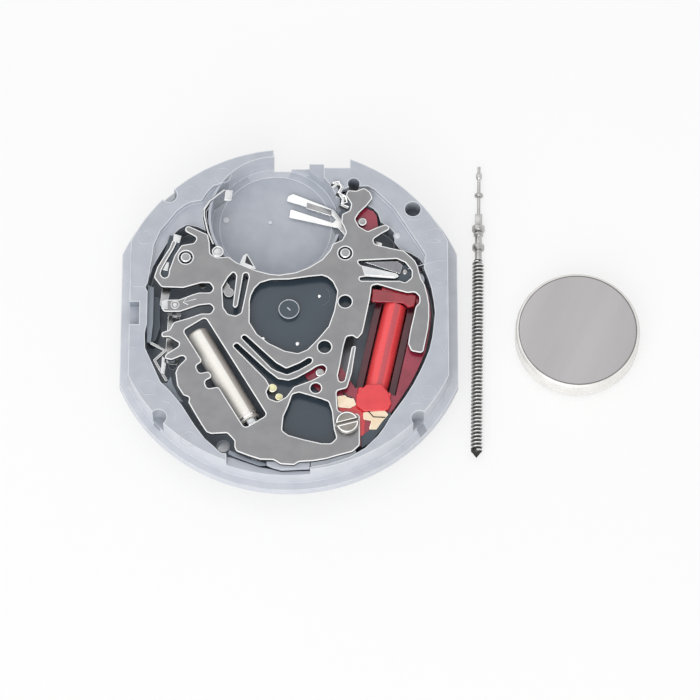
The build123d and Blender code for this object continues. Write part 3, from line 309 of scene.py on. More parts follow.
# A dark finish for the cell's rolled edge, painted shade, and a near-white one for its side wall, a painted
# reflection.
finish("cell_edge_painted_shade", tone(132, 130, 130), tone(118, 117, 116), (0.25, 0.35), metal=0.8)
finish("cell_wall_painted_reflection", tone(240, 238, 234), tone(230, 228, 224), (0.2, 0.3), metal=0.3)
# Dark thread roots and darker flanks are painted shade, and the bright crests a painted highlight.
finish("thread_root_painted_shade", tone(52, 51, 50), tone(40, 40, 40), (0.4, 0.5), metal=0.5)
finish("thread_flank_painted_shade", tone(150, 149, 147), tone(120, 119, 118), (0.3, 0.4), metal=0.9)
finish("thread_crest_painted_highlight", tone(246, 246, 245), tone(232, 232, 231), (0.2, 0.3), metal=0.6)
finish("stem_steel", tone(196, 195, 193), tone(160, 159, 158), (0.2, 0.34), metal=1.0)
# A near-black finish for lines beside the bow, the tab and the contacts: painted shadow.
finish("painted_shadow_line", tone(40, 42, 44), tone(30, 32, 34), (0.4, 0.5))
print(len(finishes), "plain finishes")

# %% [markdown]
# Three faces are drawn or wound, so they show streaks and not clouds: the can of the crystal, the face of
# the button cell and the red winding. The same function places the streak group and mixes two tones by it.

# %% Streaked finishes
def streaked(name, light, dark, rough, turn, stretch, streaks, metal=0.0, coat=0.0, depth=0.001,
             grains=14000):
    """A material whose tone changes in streaks along one direction."""
    material = finish(name, light, dark, rough, metal=metal, coat=coat, depth=depth, grains=grains)
    tree = material.node_tree
    shader = tree.nodes["Principled BSDF"]
    mask = place_group(tree, drawn_streaks, {"Turn": turn, "Stretch": stretch, "Streaks per metre": streaks})
    mix = tree.nodes.new("ShaderNodeMix")
    mix.data_type = "RGBA"
    mix.inputs["A"].default_value = light
    mix.inputs["B"].default_value = dark
    tree.links.new(mask.outputs["Mask"], mix.inputs["Factor"])
    tree.links.new(mix.outputs["Result"], shader.inputs["Base Color"])


coil_turn = math.atan2(16, 74.5)
crystal_turn = math.atan2(41, 72)
# A lit and a shaded copy of one finish for the crystal's two sides: painted light and painted shade.
streaked("crystal_painted_lit_side", tone(254, 252, 247), tone(242, 238, 230), (0.24, 0.28), (0, 0, -crystal_turn),
         (1, 0.08, 0.3), 1000, metal=0.1, depth=0.00002, grains=3000)
streaked("crystal_shade", tone(204, 196, 189), tone(184, 177, 170), (0.24, 0.28), (0, 0, -crystal_turn),
         (1, 0.08, 0.3), 1000, metal=0.1, depth=0.00002, grains=3000)
streaked("cell_face", tone(178, 175, 177), tone(167, 165, 166), (0.3, 0.42), (0, 0, math.radians(24)),
         (1, 0.12, 1), 300, metal=1.0)
streaked("winding_red", tone(254, 82, 86), tone(240, 66, 72), (0.2, 0.35), (0, 0, coil_turn),
         (1, 0.1, 1), 900, coat=0.3, depth=0.0005)
# A duller pink copy of the winding's red for a band along its top: a painted reflection.
streaked("winding_painted_reflection", tone(212, 84, 94), tone(200, 76, 86), (0.2, 0.35), (0, 0, coil_turn),
         (1, 0.1, 1), 900, coat=0.3, depth=0.0005)
print("streaked finishes added:", len(finishes), "in all")

# %% [markdown]
# The edge tool. A CAD node arrives as loose triangles, so a copy of it is merged, and its flat faces are
# made whole again, because bevelling a fan of triangles tears it. Then only the sharp convex edges are
# bevelled. On a stamped plate that round would catch the light, so its faces get a second, lighter material:
# a painted highlight.

# %% Rounded copies of CAD pieces
merge_distance = 0.0002 * mm
flat_angle = math.radians(1)
sharp_angle = math.radians(38)
level_slack = 0.02 * mm
upward = 0.99
steep = 0.3


def whole_mesh(node):
    """A bmesh of one CAD node, with its triangles joined and its flat faces whole."""
    mesh = bmesh.new()
    mesh.from_mesh(frame["nodes"][node].data)
    bmesh.ops.remove_doubles(mesh, verts=mesh.verts, dist=merge_distance)
    bmesh.ops.dissolve_limit(mesh, angle_limit=flat_angle, verts=mesh.verts, edges=mesh.edges)
    return mesh


def make_piece(mesh, name, body, materials):
    """Turns a finished bmesh into an object that rides on a body."""
    data = bpy.data.meshes.new(name)
    for face in mesh.faces:
        face.smooth = True
    for edge in mesh.edges:
        edge.smooth = len(edge.link_faces) == 2 and edge.calc_face_angle(0) < sharp_angle
    mesh.to_mesh(data)
    mesh.free()
    piece = bpy.data.objects.new(name, data)
    bpy.context.scene.collection.objects.link(piece)
    for material in materials:
        data.materials.append(finishes[material])
    even = piece.modifiers.new("even normals", "WEIGHTED_NORMAL")
    even.keep_sharp = True
    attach(piece, body)
    print(name, "has", len(data.polygons), "faces")
    return piece


def round_edges(mesh, width, steps, level=None):
    """Bevels the sharp convex edges, or only those at one level, and gives the new faces the second finish,
    mostly a painted highlight.
    """
    edges = [edge for edge in mesh.edges
             if len(edge.link_faces) == 2 and edge.is_convex and edge.calc_face_angle(0) > sharp_angle
             and edge.calc_length() > merge_distance]
    if level is not None:
        edges = [edge for edge in edges if all(abs(vert.co.z - level) < level_slack for vert in edge.verts)]
    made = bmesh.ops.bevel(mesh, geom=edges, offset=width, offset_type="OFFSET", segments=steps, profile=0.5,
                           affect="EDGES", clamp_overlap=True, material=-1)
    for face in made["faces"]:
        face.material_index = 1
    return len(made["faces"])


def lies_at(face, level):
    """True for a face that looks straight up at one level."""
    return face.normal.z > upward and abs(face.calc_center_median().z - level) < level_slack


def mark_rim(mesh, level, width):
    """Insets a narrow band along the border of the faces at one level and gives it the second finish, a
    painted highlight.
    """
    top = [face for face in mesh.faces if lies_at(face, level)]
    made = bmesh.ops.inset_region(mesh, faces=top, thickness=width, depth=0, use_boundary=True,
                                  use_even_offset=True)
    for face in made["faces"]:
        face.material_index = 1
    return len(made["faces"])


def dress(node, face_finish, highlight_finish, width, steps=2):
    """Stands a rounded copy of a CAD node in its place."""
    mesh = whole_mesh(node)
    count = round_edges(mesh, width, steps)
    piece = make_piece(mesh, node + "_dressed", body_of_node[node], [face_finish, highlight_finish])
    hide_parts(node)
    print(node, "rounded faces:", count)


# %% [markdown]
# The tool goes over the smaller pieces first. The width of each round is given for each piece: least on the
# thin spring strip of the plus terminal, most on the guide and on the brass contacts.

# %% Dress the stamped and moulded pieces
dress("train_bridge", "slate_plastic", "slate_edge_painted_highlight", 0.04 * mm)
dress("stem_guide", "slate_plastic", "slate_edge_painted_highlight", 0.05 * mm)
dress("coil_bobbin", "maroon_plastic", "maroon_edge_painted_highlight", 0.04 * mm)
dress("circuit_board", "red_board", "red_board_edge_painted_highlight", 0.03 * mm)
dress("board_contacts", "pale_brass", "brass_edge_painted_highlight", 0.05 * mm)
dress("crystal_base", "bright_steel", "bright_edge_painted_highlight", 0.04 * mm)
dress("plus_terminal", "bright_steel", "bright_edge_painted_highlight", 0.02 * mm)
dress("minus_terminal", "prong_painted_highlight", "bright_edge_painted_highlight", 0.03 * mm)
dress("hook_contact", "bright_steel", "bright_edge_painted_highlight", 0.04 * mm)
dress("lever_spring", "pin_steel", "bright_edge_painted_highlight", 0.04 * mm)
dress("setting_lever", "pin_steel", "bright_edge_painted_highlight", 0.04 * mm)
dress("yoke", "pin_steel", "bright_edge_painted_highlight", 0.04 * mm)
dress("reset_lever", "pin_steel", "bright_edge_painted_highlight", 0.04 * mm)

# %% [markdown]
# On the large pieces the short edges of the arcs hold a bevel back to almost nothing, so their painted
# highlight is a narrow lighter band that is inset along the border of each upper face, and only then a small
# round. On the moulded ring this band paints the highlight of the mould's parting edge. Its flange and outer
# wall get a lighter tone of their own, a painted highlight of the light from the table. The four pockets and
# the deep hollows get darker tones, painted shade. Levels and places are in millimetres.

# %% Moulded ring
ring_top = 3.1
ledge_top = 2.65
floor_top = 0.8
outer_wall = 11.9
flange_limit = 0.9
pockets = [(-9.2, 9.4), (9.4, 8.2), (-9.7, -8.9), (9.8, -9.0)]
pocket_reach = 0.68
pocket_rim = 3.05
well_middle = (-1.1, 7.7)
well_reach = 5.2
hollow_low = 0.75
hollow_high = 2.7

mesh = whole_mesh("main_plate")
bands = sum(mark_rim(mesh, level * mm, 0.06 * mm) for level in (ring_top, ledge_top, floor_top))
rounds = round_edges(mesh, 0.03 * mm, 2)
wide_floors = [face for face in mesh.faces if len(face.verts) > 4 and lies_at(face, floor_top * mm)]
bmesh.ops.triangulate(mesh, faces=wide_floors)
# Faces of the flange and outer wall take a painted highlight; pocket faces and the hollows' walls and floors
# take painted shade.
for face in mesh.faces:
    middle_point = face.calc_center_median()
    wall = abs(face.normal.z) < steep
    outside = min(math.hypot(vert.co.x, vert.co.y) for vert in face.verts) > outer_wall * mm
    if face.material_index == 0 and outside and (middle_point.z < flange_limit * mm or wall):
        face.material_index = 2
    in_pocket = any(all(math.hypot(vert.co.x - x * mm, vert.co.y - y * mm) < pocket_reach * mm
                        for vert in face.verts) for x, y in pockets)
    from_well = math.hypot(middle_point.x - well_middle[0] * mm, middle_point.y - well_middle[1] * mm)
    in_well = from_well < well_reach * mm
    inner_wall = wall and not outside and hollow_low * mm < middle_point.z < hollow_high * mm
    hollow_floor = not outside and lies_at(face, floor_top * mm)
    if in_pocket and middle_point.z < pocket_rim * mm:
        face.material_index = 3
    elif (inner_wall or hollow_floor) and not in_well and face.material_index == 0:
        face.material_index = 4
ring = make_piece(mesh, "moulded_ring", "movement",
                  ["ring_plastic", "ring_edge_painted_highlight", "flange_painted_light", "pocket_shade", "cavity_painted_shade"])
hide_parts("main_plate")
print("ring:", bands, "band faces,", rounds, "rounded faces")

# %% [markdown]
# The cover plate is punched from sheet steel, and the punch pulls the sheet's upper edge down a little. So
# the
# plate gets three finishes: a satin top, a near-white band that is inset along every border of that top, a
# painted highlight, and a dark wall, painted shade. The band is then rounded towards the wall.

# %% Cover plate
plate_top = 3.2
mesh = whole_mesh("cover_plate")
bands = mark_rim(mesh, plate_top * mm, 0.085 * mm)
rounds = round_edges(mesh, 0.04 * mm, 2, plate_top * mm)
# Walls of the plate take the dark finish, painted shade.
for face in mesh.faces:
    if abs(face.normal.z) < steep and face.material_index == 0:
        face.material_index = 2
plate = make_piece(mesh, "punched_plate", "movement", ["stamped_steel", "stamped_edge_painted_highlight", "stamped_wall_painted_shade"])
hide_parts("cover_plate")

# %% [markdown]
# The heads of the pins and of the screw keep a darker face, and their rounded rim gets a near-white finish,
# a painted highlight.

# %% Dress the pins and the screw
dress("plate_pins", "pin_steel", "bright_edge_painted_highlight", 0.1 * mm, steps=3)
dress("contact_pins", "pin_brass", "brass_edge_painted_highlight", 0.09 * mm, steps=3)

mesh = whole_mesh("cover_screw")
mark_rim(mesh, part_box("cover_screw")[1].z, 0.07 * mm)
round_edges(mesh, 0.05 * mm, 2)
screw = make_piece(mesh, "slotted_screw", body_of_node["cover_screw"], ["screw_face", "bright_edge_painted_highlight"])
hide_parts("cover_screw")

# %% [markdown]
# The crystal's can is a drawn tube with a satin polish, crimped on to its base. Its side towards the upper
# right gets a shaded copy of the finish and the other side a lit copy, painted shade and painted light, each
# streaked.

# %% Crystal can
shaded_side = 0.25
mesh = whole_mesh("crystal_can")
round_edges(mesh, 0.04 * mm, 2)
across = Vector((math.cos(crystal_turn), math.sin(crystal_turn), 0))
# Faces turned towards the upper right take the painted shade.
for face in mesh.faces:
    face.material_index = 1 if face.normal.dot(across) > shaded_side else 0
can = make_piece(mesh, "drawn_can", body_of_node["crystal_can"], ["crystal_painted_lit_side", "crystal_shade"])
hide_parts("crystal_can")

# %% [markdown]
# The other pieces are hidden or very small, so they keep their CAD mesh. One table from the record's material
# slots to the finishes serves them all.

# %% Finish the pieces that keep their CAD mesh
kept_finish = {
    "bright_steel": "bright_steel", "brass": "pale_brass", "board_red": "red_board",
    "coil_red": "red_lacquer",
    "bobbin_maroon": "maroon_plastic", "black_resin": "black_resin", "silver_can": "bright_steel",
    "soft_iron": "soft_iron", "magnet_grey": "magnet_grey", "cell_steel": "bright_steel",
    "gasket_plastic": "gasket_grey", "white_plastic": "white_plastic", "pale_plastic": "ring_plastic",
    "dark_plastic": "slate_plastic", "plate_steel": "stamped_steel",
}
for name, node in frame["nodes"].items():
    node.data.materials.clear()
    node.data.materials.append(finishes[kept_finish[slot_of_node[name]]])
print("CAD nodes with a finish:", len(frame["nodes"]))

# %% [markdown]
# The stem is turned on a lathe, so it is made as a lathe makes it: half a profile is spun round the axis.
# The thread can't come from the same spin, because a real thread climbs. Its profile, one groove and one
# crest, is spun with a rise of one pitch for every turn, so that each turn begins where the last one ended.

# %% Stem
def turned(mesh, profile, steps, matrix):
    """Spins a half profile of radius and height pairs round the upright axis, then places it."""
    verts = [mesh.verts.new((radius, 0, height)) for radius, height in profile]
    edges = [mesh.edges.new(pair) for pair in zip(verts, verts[1:])]
    before = set(mesh.verts) - set(verts)
    bmesh.ops.spin(mesh, geom=verts + edges, cent=(0, 0, 0), axis=(0, 0, 1), angle=2 * math.pi, steps=steps,
                   use_merge=True)
    made = [vert for vert in mesh.verts if vert not in before]
    bmesh.ops.transform(mesh, matrix=matrix, verts=made)


def close_up(mesh):
    """Merges what a spin leaves double and turns every face outwards."""
    bmesh.ops.remove_doubles(mesh, verts=mesh.verts, dist=merge_distance)
    bmesh.ops.recalc_face_normals(mesh, faces=mesh.faces)


tenth = 0.1 * mm
stem_top = Vector((146.4 * tenth, 137.5 * tenth, cad_low.z + 0.5 * mm))
stem_foot = Vector((141.5 * tenth, -105.2 * tenth, cad_low.z + 0.5 * mm))
stem_length = (stem_foot - stem_top).length
stem_turn = (stem_foot - stem_top).to_track_quat("Z", "X")
stem_matrix = Matrix.Translation(stem_top) @ stem_turn.to_matrix().to_4x4()
shank = [(0, 0), (0.12, 0), (0.12, 0.5), (0.2, 0.56), (0.24, 0.7), (0.24, 0.9), (0.18, 1.05), (0.13, 1.08),
         (0.13, 2.25), (0.3, 2.3), (0.34, 2.4), (0.34, 2.5), (0.3, 2.55), (0.13, 2.58), (0.13, 4.1)]
hub = [(0.28, 5.0), (0.42, 5.02), (0.5, 5.12), (0.5, 5.46), (0.42, 5.55), (0.27, 5.58), (0.27, 5.62),
       (0.38, 5.66), (0.38, 5.86), (0.3, 5.9), (0.27, 5.95), (0.27, 6.6), (0.42, 6.62), (0.47, 6.72),
       (0.47, 7.0), (0.42, 7.1), (0.27, 7.12), (0.27, 7.95), (0.34, 7.97), (0, 7.97)]
thread_start = 7.95
thread_pitch = 0.3
thread_turns = 52
thread_steps = 16
thread_low = 0.34
thread_high = 0.45

mesh = bmesh.new()
turned(mesh, [(radius * mm, height * mm) for radius, height in shank] + [(0, 4.1 * mm)], 24, stem_matrix)
turned(mesh, [(0, 5.0 * mm)] + [(radius * mm, height * mm) for radius, height in hub], 28, stem_matrix)
close_up(mesh)
square = bmesh.ops.create_cube(mesh, size=1, matrix=stem_matrix @ Matrix.Translation((0, 0, 4.55 * mm))
                               @ Matrix.Diagonal((0.56 * mm, 0.56 * mm, 0.92 * mm, 1)))
sides = list({edge for vert in square["verts"] for edge in vert.link_edges})
bmesh.ops.bevel(mesh, geom=sides, offset=0.05 * mm, offset_type="OFFSET", segments=2, profile=0.5,
                affect="EDGES", clamp_overlap=True, material=-1)
stem_shank = make_piece(mesh, "stem_shank", "loose_stem", ["stem_steel"])
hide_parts("stem")

mesh = bmesh.new()
outline = [(thread_low, 0), (thread_low, 0.2), (thread_high, 0.45), (thread_high, 0.75), (thread_low, 1)]
verts = [mesh.verts.new((radius * mm, 0, (thread_start + rise * thread_pitch) * mm))
         for radius, rise in outline]
edges = [mesh.edges.new(pair) for pair in zip(verts, verts[1:])]
bmesh.ops.spin(mesh, geom=verts + edges, cent=(0, 0, 0), axis=(0, 0, 1), angle=2 * math.pi * thread_turns,
               steps=thread_steps * thread_turns, dvec=(0, 0, thread_pitch / thread_steps * mm),
               use_merge=False)
close_up(mesh)
thread_middle = (thread_low + thread_high) / 2
# Faces at the root take painted shade, the flanks a lighter painted shade, and the crests a painted
# highlight.
for face in mesh.faces:
    spread = [math.hypot(vert.co.x, vert.co.y) / mm for vert in face.verts]
    if max(spread) < thread_middle:
        face.material_index = 0
    elif min(spread) > thread_middle:
        face.material_index = 2
    else:
        face.material_index = 1
bmesh.ops.transform(mesh, matrix=stem_matrix, verts=mesh.verts)
make_piece(mesh, "stem_thread", "loose_stem", ["thread_root_painted_shade", "thread_flank_painted_shade", "thread_crest_painted_highlight"])

thread_end = thread_start + thread_pitch * thread_turns
point = [(0, thread_end - 0.2), (0.4, thread_end - 0.1), (0.42, thread_end + 0.2), (0.3, thread_end + 0.32)]
mesh = bmesh.new()
turned(mesh, [(radius * mm, height * mm) for radius, height in point] + [(0, stem_length)], 24, stem_matrix)
close_up(mesh)
# The stem's point takes the dark root finish, painted shade as well.
make_piece(mesh, "stem_point", "loose_stem", ["thread_root_painted_shade"])

# %% [markdown]
# The button cell's can is drawn from sheet steel. Its face is satin and nearly mid grey. Its rolled edge gets
# a dark finish, painted shade, and its side wall a near-white one, a painted reflection of the bright table.
# Three finishes on one spun profile give that. The rolled edge is listed by its depth below the face, and the
# open foot by its height.

# %% Button cell
cell_place = Vector((219.4 * tenth, -6.6 * tenth, cad_low.z))
cell_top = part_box("cell_can")[1].z - cad_low.z
rolled_edge = [(4.36, 0), (4.43, 0.02), (4.52, 0.02), (4.62, 0.06), (4.7, 0.14), (4.745, 0.26), (4.75, 0.36)]
open_foot = [(4.75, 0.5), (4.72, 0.36), (4.64, 0.27), (4.55, 0.25)]
profile = [(0, cell_top), *[(radius * mm, cell_top - depth * mm) for radius, depth in rolled_edge],
           *[(radius * mm, height * mm) for radius, height in open_foot],
           (4.55 * mm, cell_top - 0.2 * mm), (0, cell_top - 0.2 * mm)]
mesh = bmesh.new()
turned(mesh, profile, 96, Matrix.Translation(cell_place))
close_up(mesh)
# The rim faces take painted shade, the side wall a painted reflection.
for face in mesh.faces:
    middle_point = face.calc_center_median() - cell_place
    reach = math.hypot(middle_point.x, middle_point.y)
    if middle_point.z > cell_top - 0.01 * mm:
        face.material_index = 0
    elif middle_point.z > cell_top - 0.03 * mm and reach > 4.3 * mm:
        face.material_index = 1
    else:
        face.material_index = 2
cell = make_piece(mesh, "cell_can_drawn", "loose_cell", ["cell_face", "cell_edge_painted_shade", "cell_wall_painted_reflection"])
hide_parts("cell_can")

# %% [markdown]
# The winding carries thousands of turns of wire thinner than a hair, under red lacquer. A single turn
# can't be seen, but the layers leave fine ridges that draw the light out into streaks along the coil.
# The profile is a barrel with one small ridge for each visible layer edge, spun round the coil's axis.

# %% Winding
coil_top = Vector((81 * tenth, 8.5 * tenth, 1.92 * mm))
coil_foot = Vector((65 * tenth, -66 * tenth, 1.92 * mm))
coil_length = (coil_foot - coil_top).length
coil_tilt = (coil_foot - coil_top).to_track_quat("Z", "Y")
coil_matrix = Matrix.Translation(coil_top) @ coil_tilt.to_matrix().to_4x4()
ridges = 56
first = 0.32 * mm
pitch = (coil_length - 2 * first) / ridges
profile = [(0.2 * mm, first)]
for i in range(ridges):
    swell = 0.02 * math.sin(math.pi * i / ridges) * mm
    profile.append((0.858 * mm + swell, first + i * pitch))
    profile.append((0.878 * mm + swell, first + (i + 0.5) * pitch))
profile.append((0.858 * mm, coil_length - first))
profile.append((0.2 * mm, coil_length - first))
mesh = bmesh.new()
turned(mesh, profile, 40, coil_matrix)
close_up(mesh)
along_coil = (coil_foot - coil_top).normalized()
across_coil = Vector((-along_coil.y, along_coil.x, 0))
# Faces in a band along the top of the winding take the painted reflection.
for face in mesh.faces:
    from_axis = face.calc_center_median() - coil_top
    painted_reflection_band = from_axis.z > 0 and -0.06 * mm < from_axis.dot(across_coil) < 0.36 * mm
    face.material_index = 1 if painted_reflection_band else 0
winding = make_piece(mesh, "wound_coil", "movement", ["winding_red", "winding_painted_reflection"])
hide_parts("coil_winding")

# %% [markdown]
# Several small things are flat blocks with rounded edges: the lacquer that ran out over the coil's ends, bent
# tabs, the leaf in a slot, the clip on a prong, and the fills between the ring and the plate. One helper
# raises any of them from its outline, given in tenths of a millimetre.

# %% Flat blocks
def add_block(mesh, outline, low, high, soft, finish_index=0, rim_index=0):
    """Raises an outline from one height to another, rounds all its edges and adds it to a mesh."""
    block = bmesh.new()
    face = block.faces.new([block.verts.new((x * tenth, y * tenth, low * mm)) for x, y in outline])
    made = bmesh.ops.extrude_face_region(block, geom=[face])
    lifted = [item for item in made["geom"] if isinstance(item, bmesh.types.BMVert)]
    bmesh.ops.translate(block, vec=(0, 0, (high - low) * mm), verts=lifted)
    bmesh.ops.recalc_face_normals(block, faces=block.faces)
    bmesh.ops.bevel(block, geom=block.edges[:], offset=soft * mm, offset_type="OFFSET", segments=3,
                    profile=0.5, affect="EDGES", clamp_overlap=True, material=-1)
    block.normal_update()
    for face in block.faces:
        # Faces that don't look straight up or down take the rim finish: a painted highlight on the tabs, the
        # clip and the leaf, and painted shade on the sills.
        face.material_index = finish_index if abs(face.normal.z) > upward else rim_index
    data = bpy.data.meshes.new("block")
    block.to_mesh(data)
    block.free()
    mesh.from_mesh(data)
    bpy.data.meshes.remove(data)


mesh = bmesh.new()
add_block(mesh, [(50.7, -70.3), (58.3, -61.8), (69.6, -61.8), (74.6, -67.8), (77.3, -77.3), (74.6, -82.7),
                 (55.6, -83.5), (50.7, -79.4)], 2.72, 2.95, 0.08)
add_block(mesh, [(62, 6), (62.8, 17), (97, 11.5), (95, 2), (90, 1.5), (86, 5)], 2.6, 2.93, 0.12, 1, 1)
add_block(mesh, [(37, -76.4), (49.9, -75.2), (62.1, -82.6), (57.5, -85.7), (56.5, -102.2), (53.7, -103.3),
                 (52.7, -87.6), (45.1, -85.7), (38.5, -84.7)], 2.69, 2.73, 0.02)
make_piece(mesh, "run_lacquer", "movement", ["red_lacquer", "dark_lacquer"])

# Dark slate blocks under three slots, where only shade would show: painted shade.
mesh = bmesh.new()
add_block(mesh, [(-91, 61), (-82, 59), (-88, 23), (-101, 25)], 2.4, 2.95, 0.05)
add_block(mesh, [(53, 36), (94, 36), (96, 22), (53, 22)], 2.66, 2.95, 0.04)
add_block(mesh, [(54.2, -103.3), (59.4, -99.2), (68.9, -91), (75.6, -82.7), (77.5, -86.8), (62.3, -107.5),
                 (54.7, -112.6)], 2.69, 2.74, 0.02)
make_piece(mesh, "slot_painted_shades", "movement", ["slate_plastic"])

# Bright steel tabs whose sides take a painted highlight.
mesh = bmesh.new()
add_block(mesh, [(-35, 33), (-37.5, 37), (-35, 43), (-32, 45), (-25, 32)], 2.98, 3.14, 0.04, 0, 1)
add_block(mesh, [(-49, 99.5), (-43.5, 99), (-44.5, 90.5), (-50, 90.5)], 2.7, 2.88, 0.04, 0, 1)
add_block(mesh, [(55, 33.5), (67, 30.6), (80.5, 27.4), (82, 25.8), (79.5, 24.6), (57, 26.6)], 3.17, 3.24,
          0.025, 0, 1)
add_block(mesh, [(-88, 62), (-82, 60), (-83.5, 54.5), (-88.5, 55)], 2.9, 3.0, 0.02, 0, 1)
add_block(mesh, [(-96, 39), (-91, 38), (-92, 31), (-97, 32)], 2.9, 3.0, 0.02, 0, 1)
add_block(mesh, [(-95.2, -38.2), (-91.8, -41.5), (-93.3, -53), (-96, -52.2)], 2.64, 2.78, 0.02, 0, 1)
add_block(mesh, [(-96.2, 5.4), (-91.5, 5.4), (-91.5, -1.2), (-96.2, -1.2)], 3.17, 3.215, 0.01, 0, 1)
make_piece(mesh, "bright_tabs", "movement", ["bright_steel", "bright_edge_painted_highlight"])

mesh = bmesh.new()
add_block(mesh, [(57.5, 37.5), (82.2, 38.3), (86, 35), (84, 28), (74, 31.5)], 3.02, 3.12, 0.02, 0, 1)
make_piece(mesh, "slot_leaf", "movement", ["soft_iron", "bright_edge_painted_highlight"])

# The sills are ring plastic on top, with painted shade on their sides.
mesh = bmesh.new()
add_block(mesh, [(-16, -124), (-16, -126), (-12, -128), (-5, -130), (16.2, -129), (16.2, -124)],
          2.52, 2.93, 0.03)
add_block(mesh, [(16.8, -124), (16.8, -129), (30, -126.5), (46, -121), (51, -118), (50, -113), (30, -121)],
          2.8, 2.93, 0.03)
add_block(mesh, [(-45, -116.5), (-40, -119), (-22, -126), (-16.5, -126), (-16.5, -124), (-28, -121),
                 (-44, -113.5)], 2.52, 2.62, 0.03, 1, 1)
add_block(mesh, [(-107.2, 21), (-102.5, 19), (-102.5, -10), (-104, -27), (-107.2, -26)], 2.5, 2.62,
          0.03, 1, 1)
add_block(mesh, [(-96.6, -59), (-84.6, -74.7), (-78.5, -74.7), (-82.3, -69.8), (-86.9, -60.7), (-88.4, -54),
                 (-91.5, -59.5)], 2.52, 2.62, 0.03, 1, 1)
make_piece(mesh, "ring_sills", "movement", ["ring_plastic", "cavity_painted_shade"])

mesh = bmesh.new()
prong_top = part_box("minus_terminal")[1].z / mm
add_block(mesh, [(12.9, 97.2), (32.1, 90.5), (31.7, 85.5), (12.3, 92.1)], prong_top - 0.08, prong_top + 0.06,
          0.03, 0, 1)
make_piece(mesh, "prong_clip", "movement", ["pin_steel", "bright_edge_painted_highlight"])
print("clip on the prong at", round(prong_top, 2), "mm")

# A dark strip over the folded half of the well's tab: painted shade.
mesh = bmesh.new()
add_block(mesh, [(-33.5, 37), (-32.3, 43.5), (-27, 34)], 3.13, 3.16, 0.01)
make_piece(mesh, "tab_fold_painted_shade", "movement", ["painted_shadow_line"])

# %% [markdown]
# The ends of the coil are thick drops of the same lacquer, with the darker one at the upper end. Their solid
# already has the right shape, so its copy only gets a wide round and two tones.

# %% Lacquered coil ends
mesh = whole_mesh("coil_end_caps")
round_edges(mesh, 0.09 * mm, 3)
for face in mesh.faces:
    upper = face.calc_center_median().y > -3 * mm
    face.material_index = 2 if upper else 0
caps = make_piece(mesh, "lacquered_ends", "movement", ["red_lacquer", "red_lacquer", "dark_lacquer"])
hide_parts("coil_end_caps")

# %% [markdown]
# Fine raised or engraved lines are too thin for the plate's own mesh: ejector marks on the ring, the ring
# round a boss, the edge of a leaf. Each is a bead, a thin round line laid half into the face, and its lighter
# finish is a painted highlight. Circles are spun, and open lines are curves that are made into a mesh.

# %% Beads
def add_circle(mesh, x, y, z, radius, thick, start=0, sweep=360):
    """A thin round line round a centre, spun through a full turn or a part of one."""
    made = bmesh.ops.create_circle(mesh, cap_ends=False, segments=6, radius=thick * mm,
                                   matrix=Matrix.Translation((x * mm, y * mm, z * mm))
                                   @ Matrix.Rotation(math.radians(start), 4, "Z")
                                   @ Matrix.Translation((radius * mm, 0, 0))
                                   @ Matrix.Rotation(math.pi / 2, 4, "X"))
    verts = made["verts"]
    edges = list({edge for vert in verts for edge in vert.link_edges})
    bmesh.ops.spin(mesh, geom=verts + edges, cent=(x * mm, y * mm, z * mm), axis=(0, 0, 1),
                   angle=math.radians(sweep), steps=max(8, round(sweep / 7.5)), use_merge=sweep == 360)


def add_line(mesh, points, thick):
    """A thin round line through points, from a curve."""
    curve = bpy.data.curves.new("line", "CURVE")
    curve.dimensions = "3D"
    curve.bevel_depth = thick * mm
    curve.bevel_resolution = 1
    curve.use_fill_caps = True
    spline = curve.splines.new("POLY")
    spline.points.add(len(points) - 1)
    for point, place in zip(spline.points, points):
        point.co = (place[0] * mm, place[1] * mm, place[2] * mm, 1)
    carrier = bpy.data.objects.new("line", curve)
    data = bpy.data.meshes.new_from_object(carrier)
    mesh.from_mesh(data)
    bpy.data.objects.remove(carrier)
    bpy.data.curves.remove(curve)
    bpy.data.meshes.remove(data)


def bead_piece(mesh, name, material):
    """Turns finished beads into a piece of the movement."""
    bmesh.ops.recalc_face_normals(mesh, faces=mesh.faces)
    make_piece(mesh, name, "movement", [material])


mesh = bmesh.new()
for x, y, radius in [(-5.1, 11.05, 0.62), (-7.62, 9.5, 0.62), (-11.0, 5.86, 0.55), (-10.5, -6.5, 0.6),
                     (-7.4, -10.7, 0.62), (11.1, 6.0, 0.6), (11.35, 2.6, 0.55), (10.5, -6.9, 0.55)]:
    add_circle(mesh, x, y, ring_top, radius, 0.03)
for points in [
        [(-12.0, 4.6), (-12.0, 2.3), (-11.75, 1.75), (-11.1, 1.75), (-10.95, 2.6)],
        [(9.0, 3.2), (11.2, 3.9), (11.9, 3.9)],
        [(11.9, 3.4), (11.9, -3.2), (11.6, -3.7)],
        [(-11.9, -3.2), (-11.3, -3.3), (-11.2, -2.2)]]:
    add_line(mesh, [(x, y, ring_top) for x, y in points], 0.035)
for x, y, radius, start, sweep in [(9.6, -8.9, 1.15, 70, 150), (9.5, 8.3, 1.0, 200, 120),
                                   (-9.5, -8.7, 1.1, -30, 120), (11.0, 5.0, 0.7, 30, 150)]:
    add_circle(mesh, x, y, ring_top, radius, 0.03, start, sweep)
bmesh.ops.holes_fill(mesh, edges=[edge for edge in mesh.edges if edge.is_boundary], sides=6)
bead_piece(mesh, "moulded_ring_marks", "ring_line_painted_highlight")

mesh = bmesh.new()
add_circle(mesh, 0, 0, 2.86, 0.76, 0.035)
add_line(mesh, [(-0.12, 0.12, 2.87), (0.12, -0.12, 2.87)], 0.05)
bead_piece(mesh, "boss_mark", "ring_line_painted_highlight")

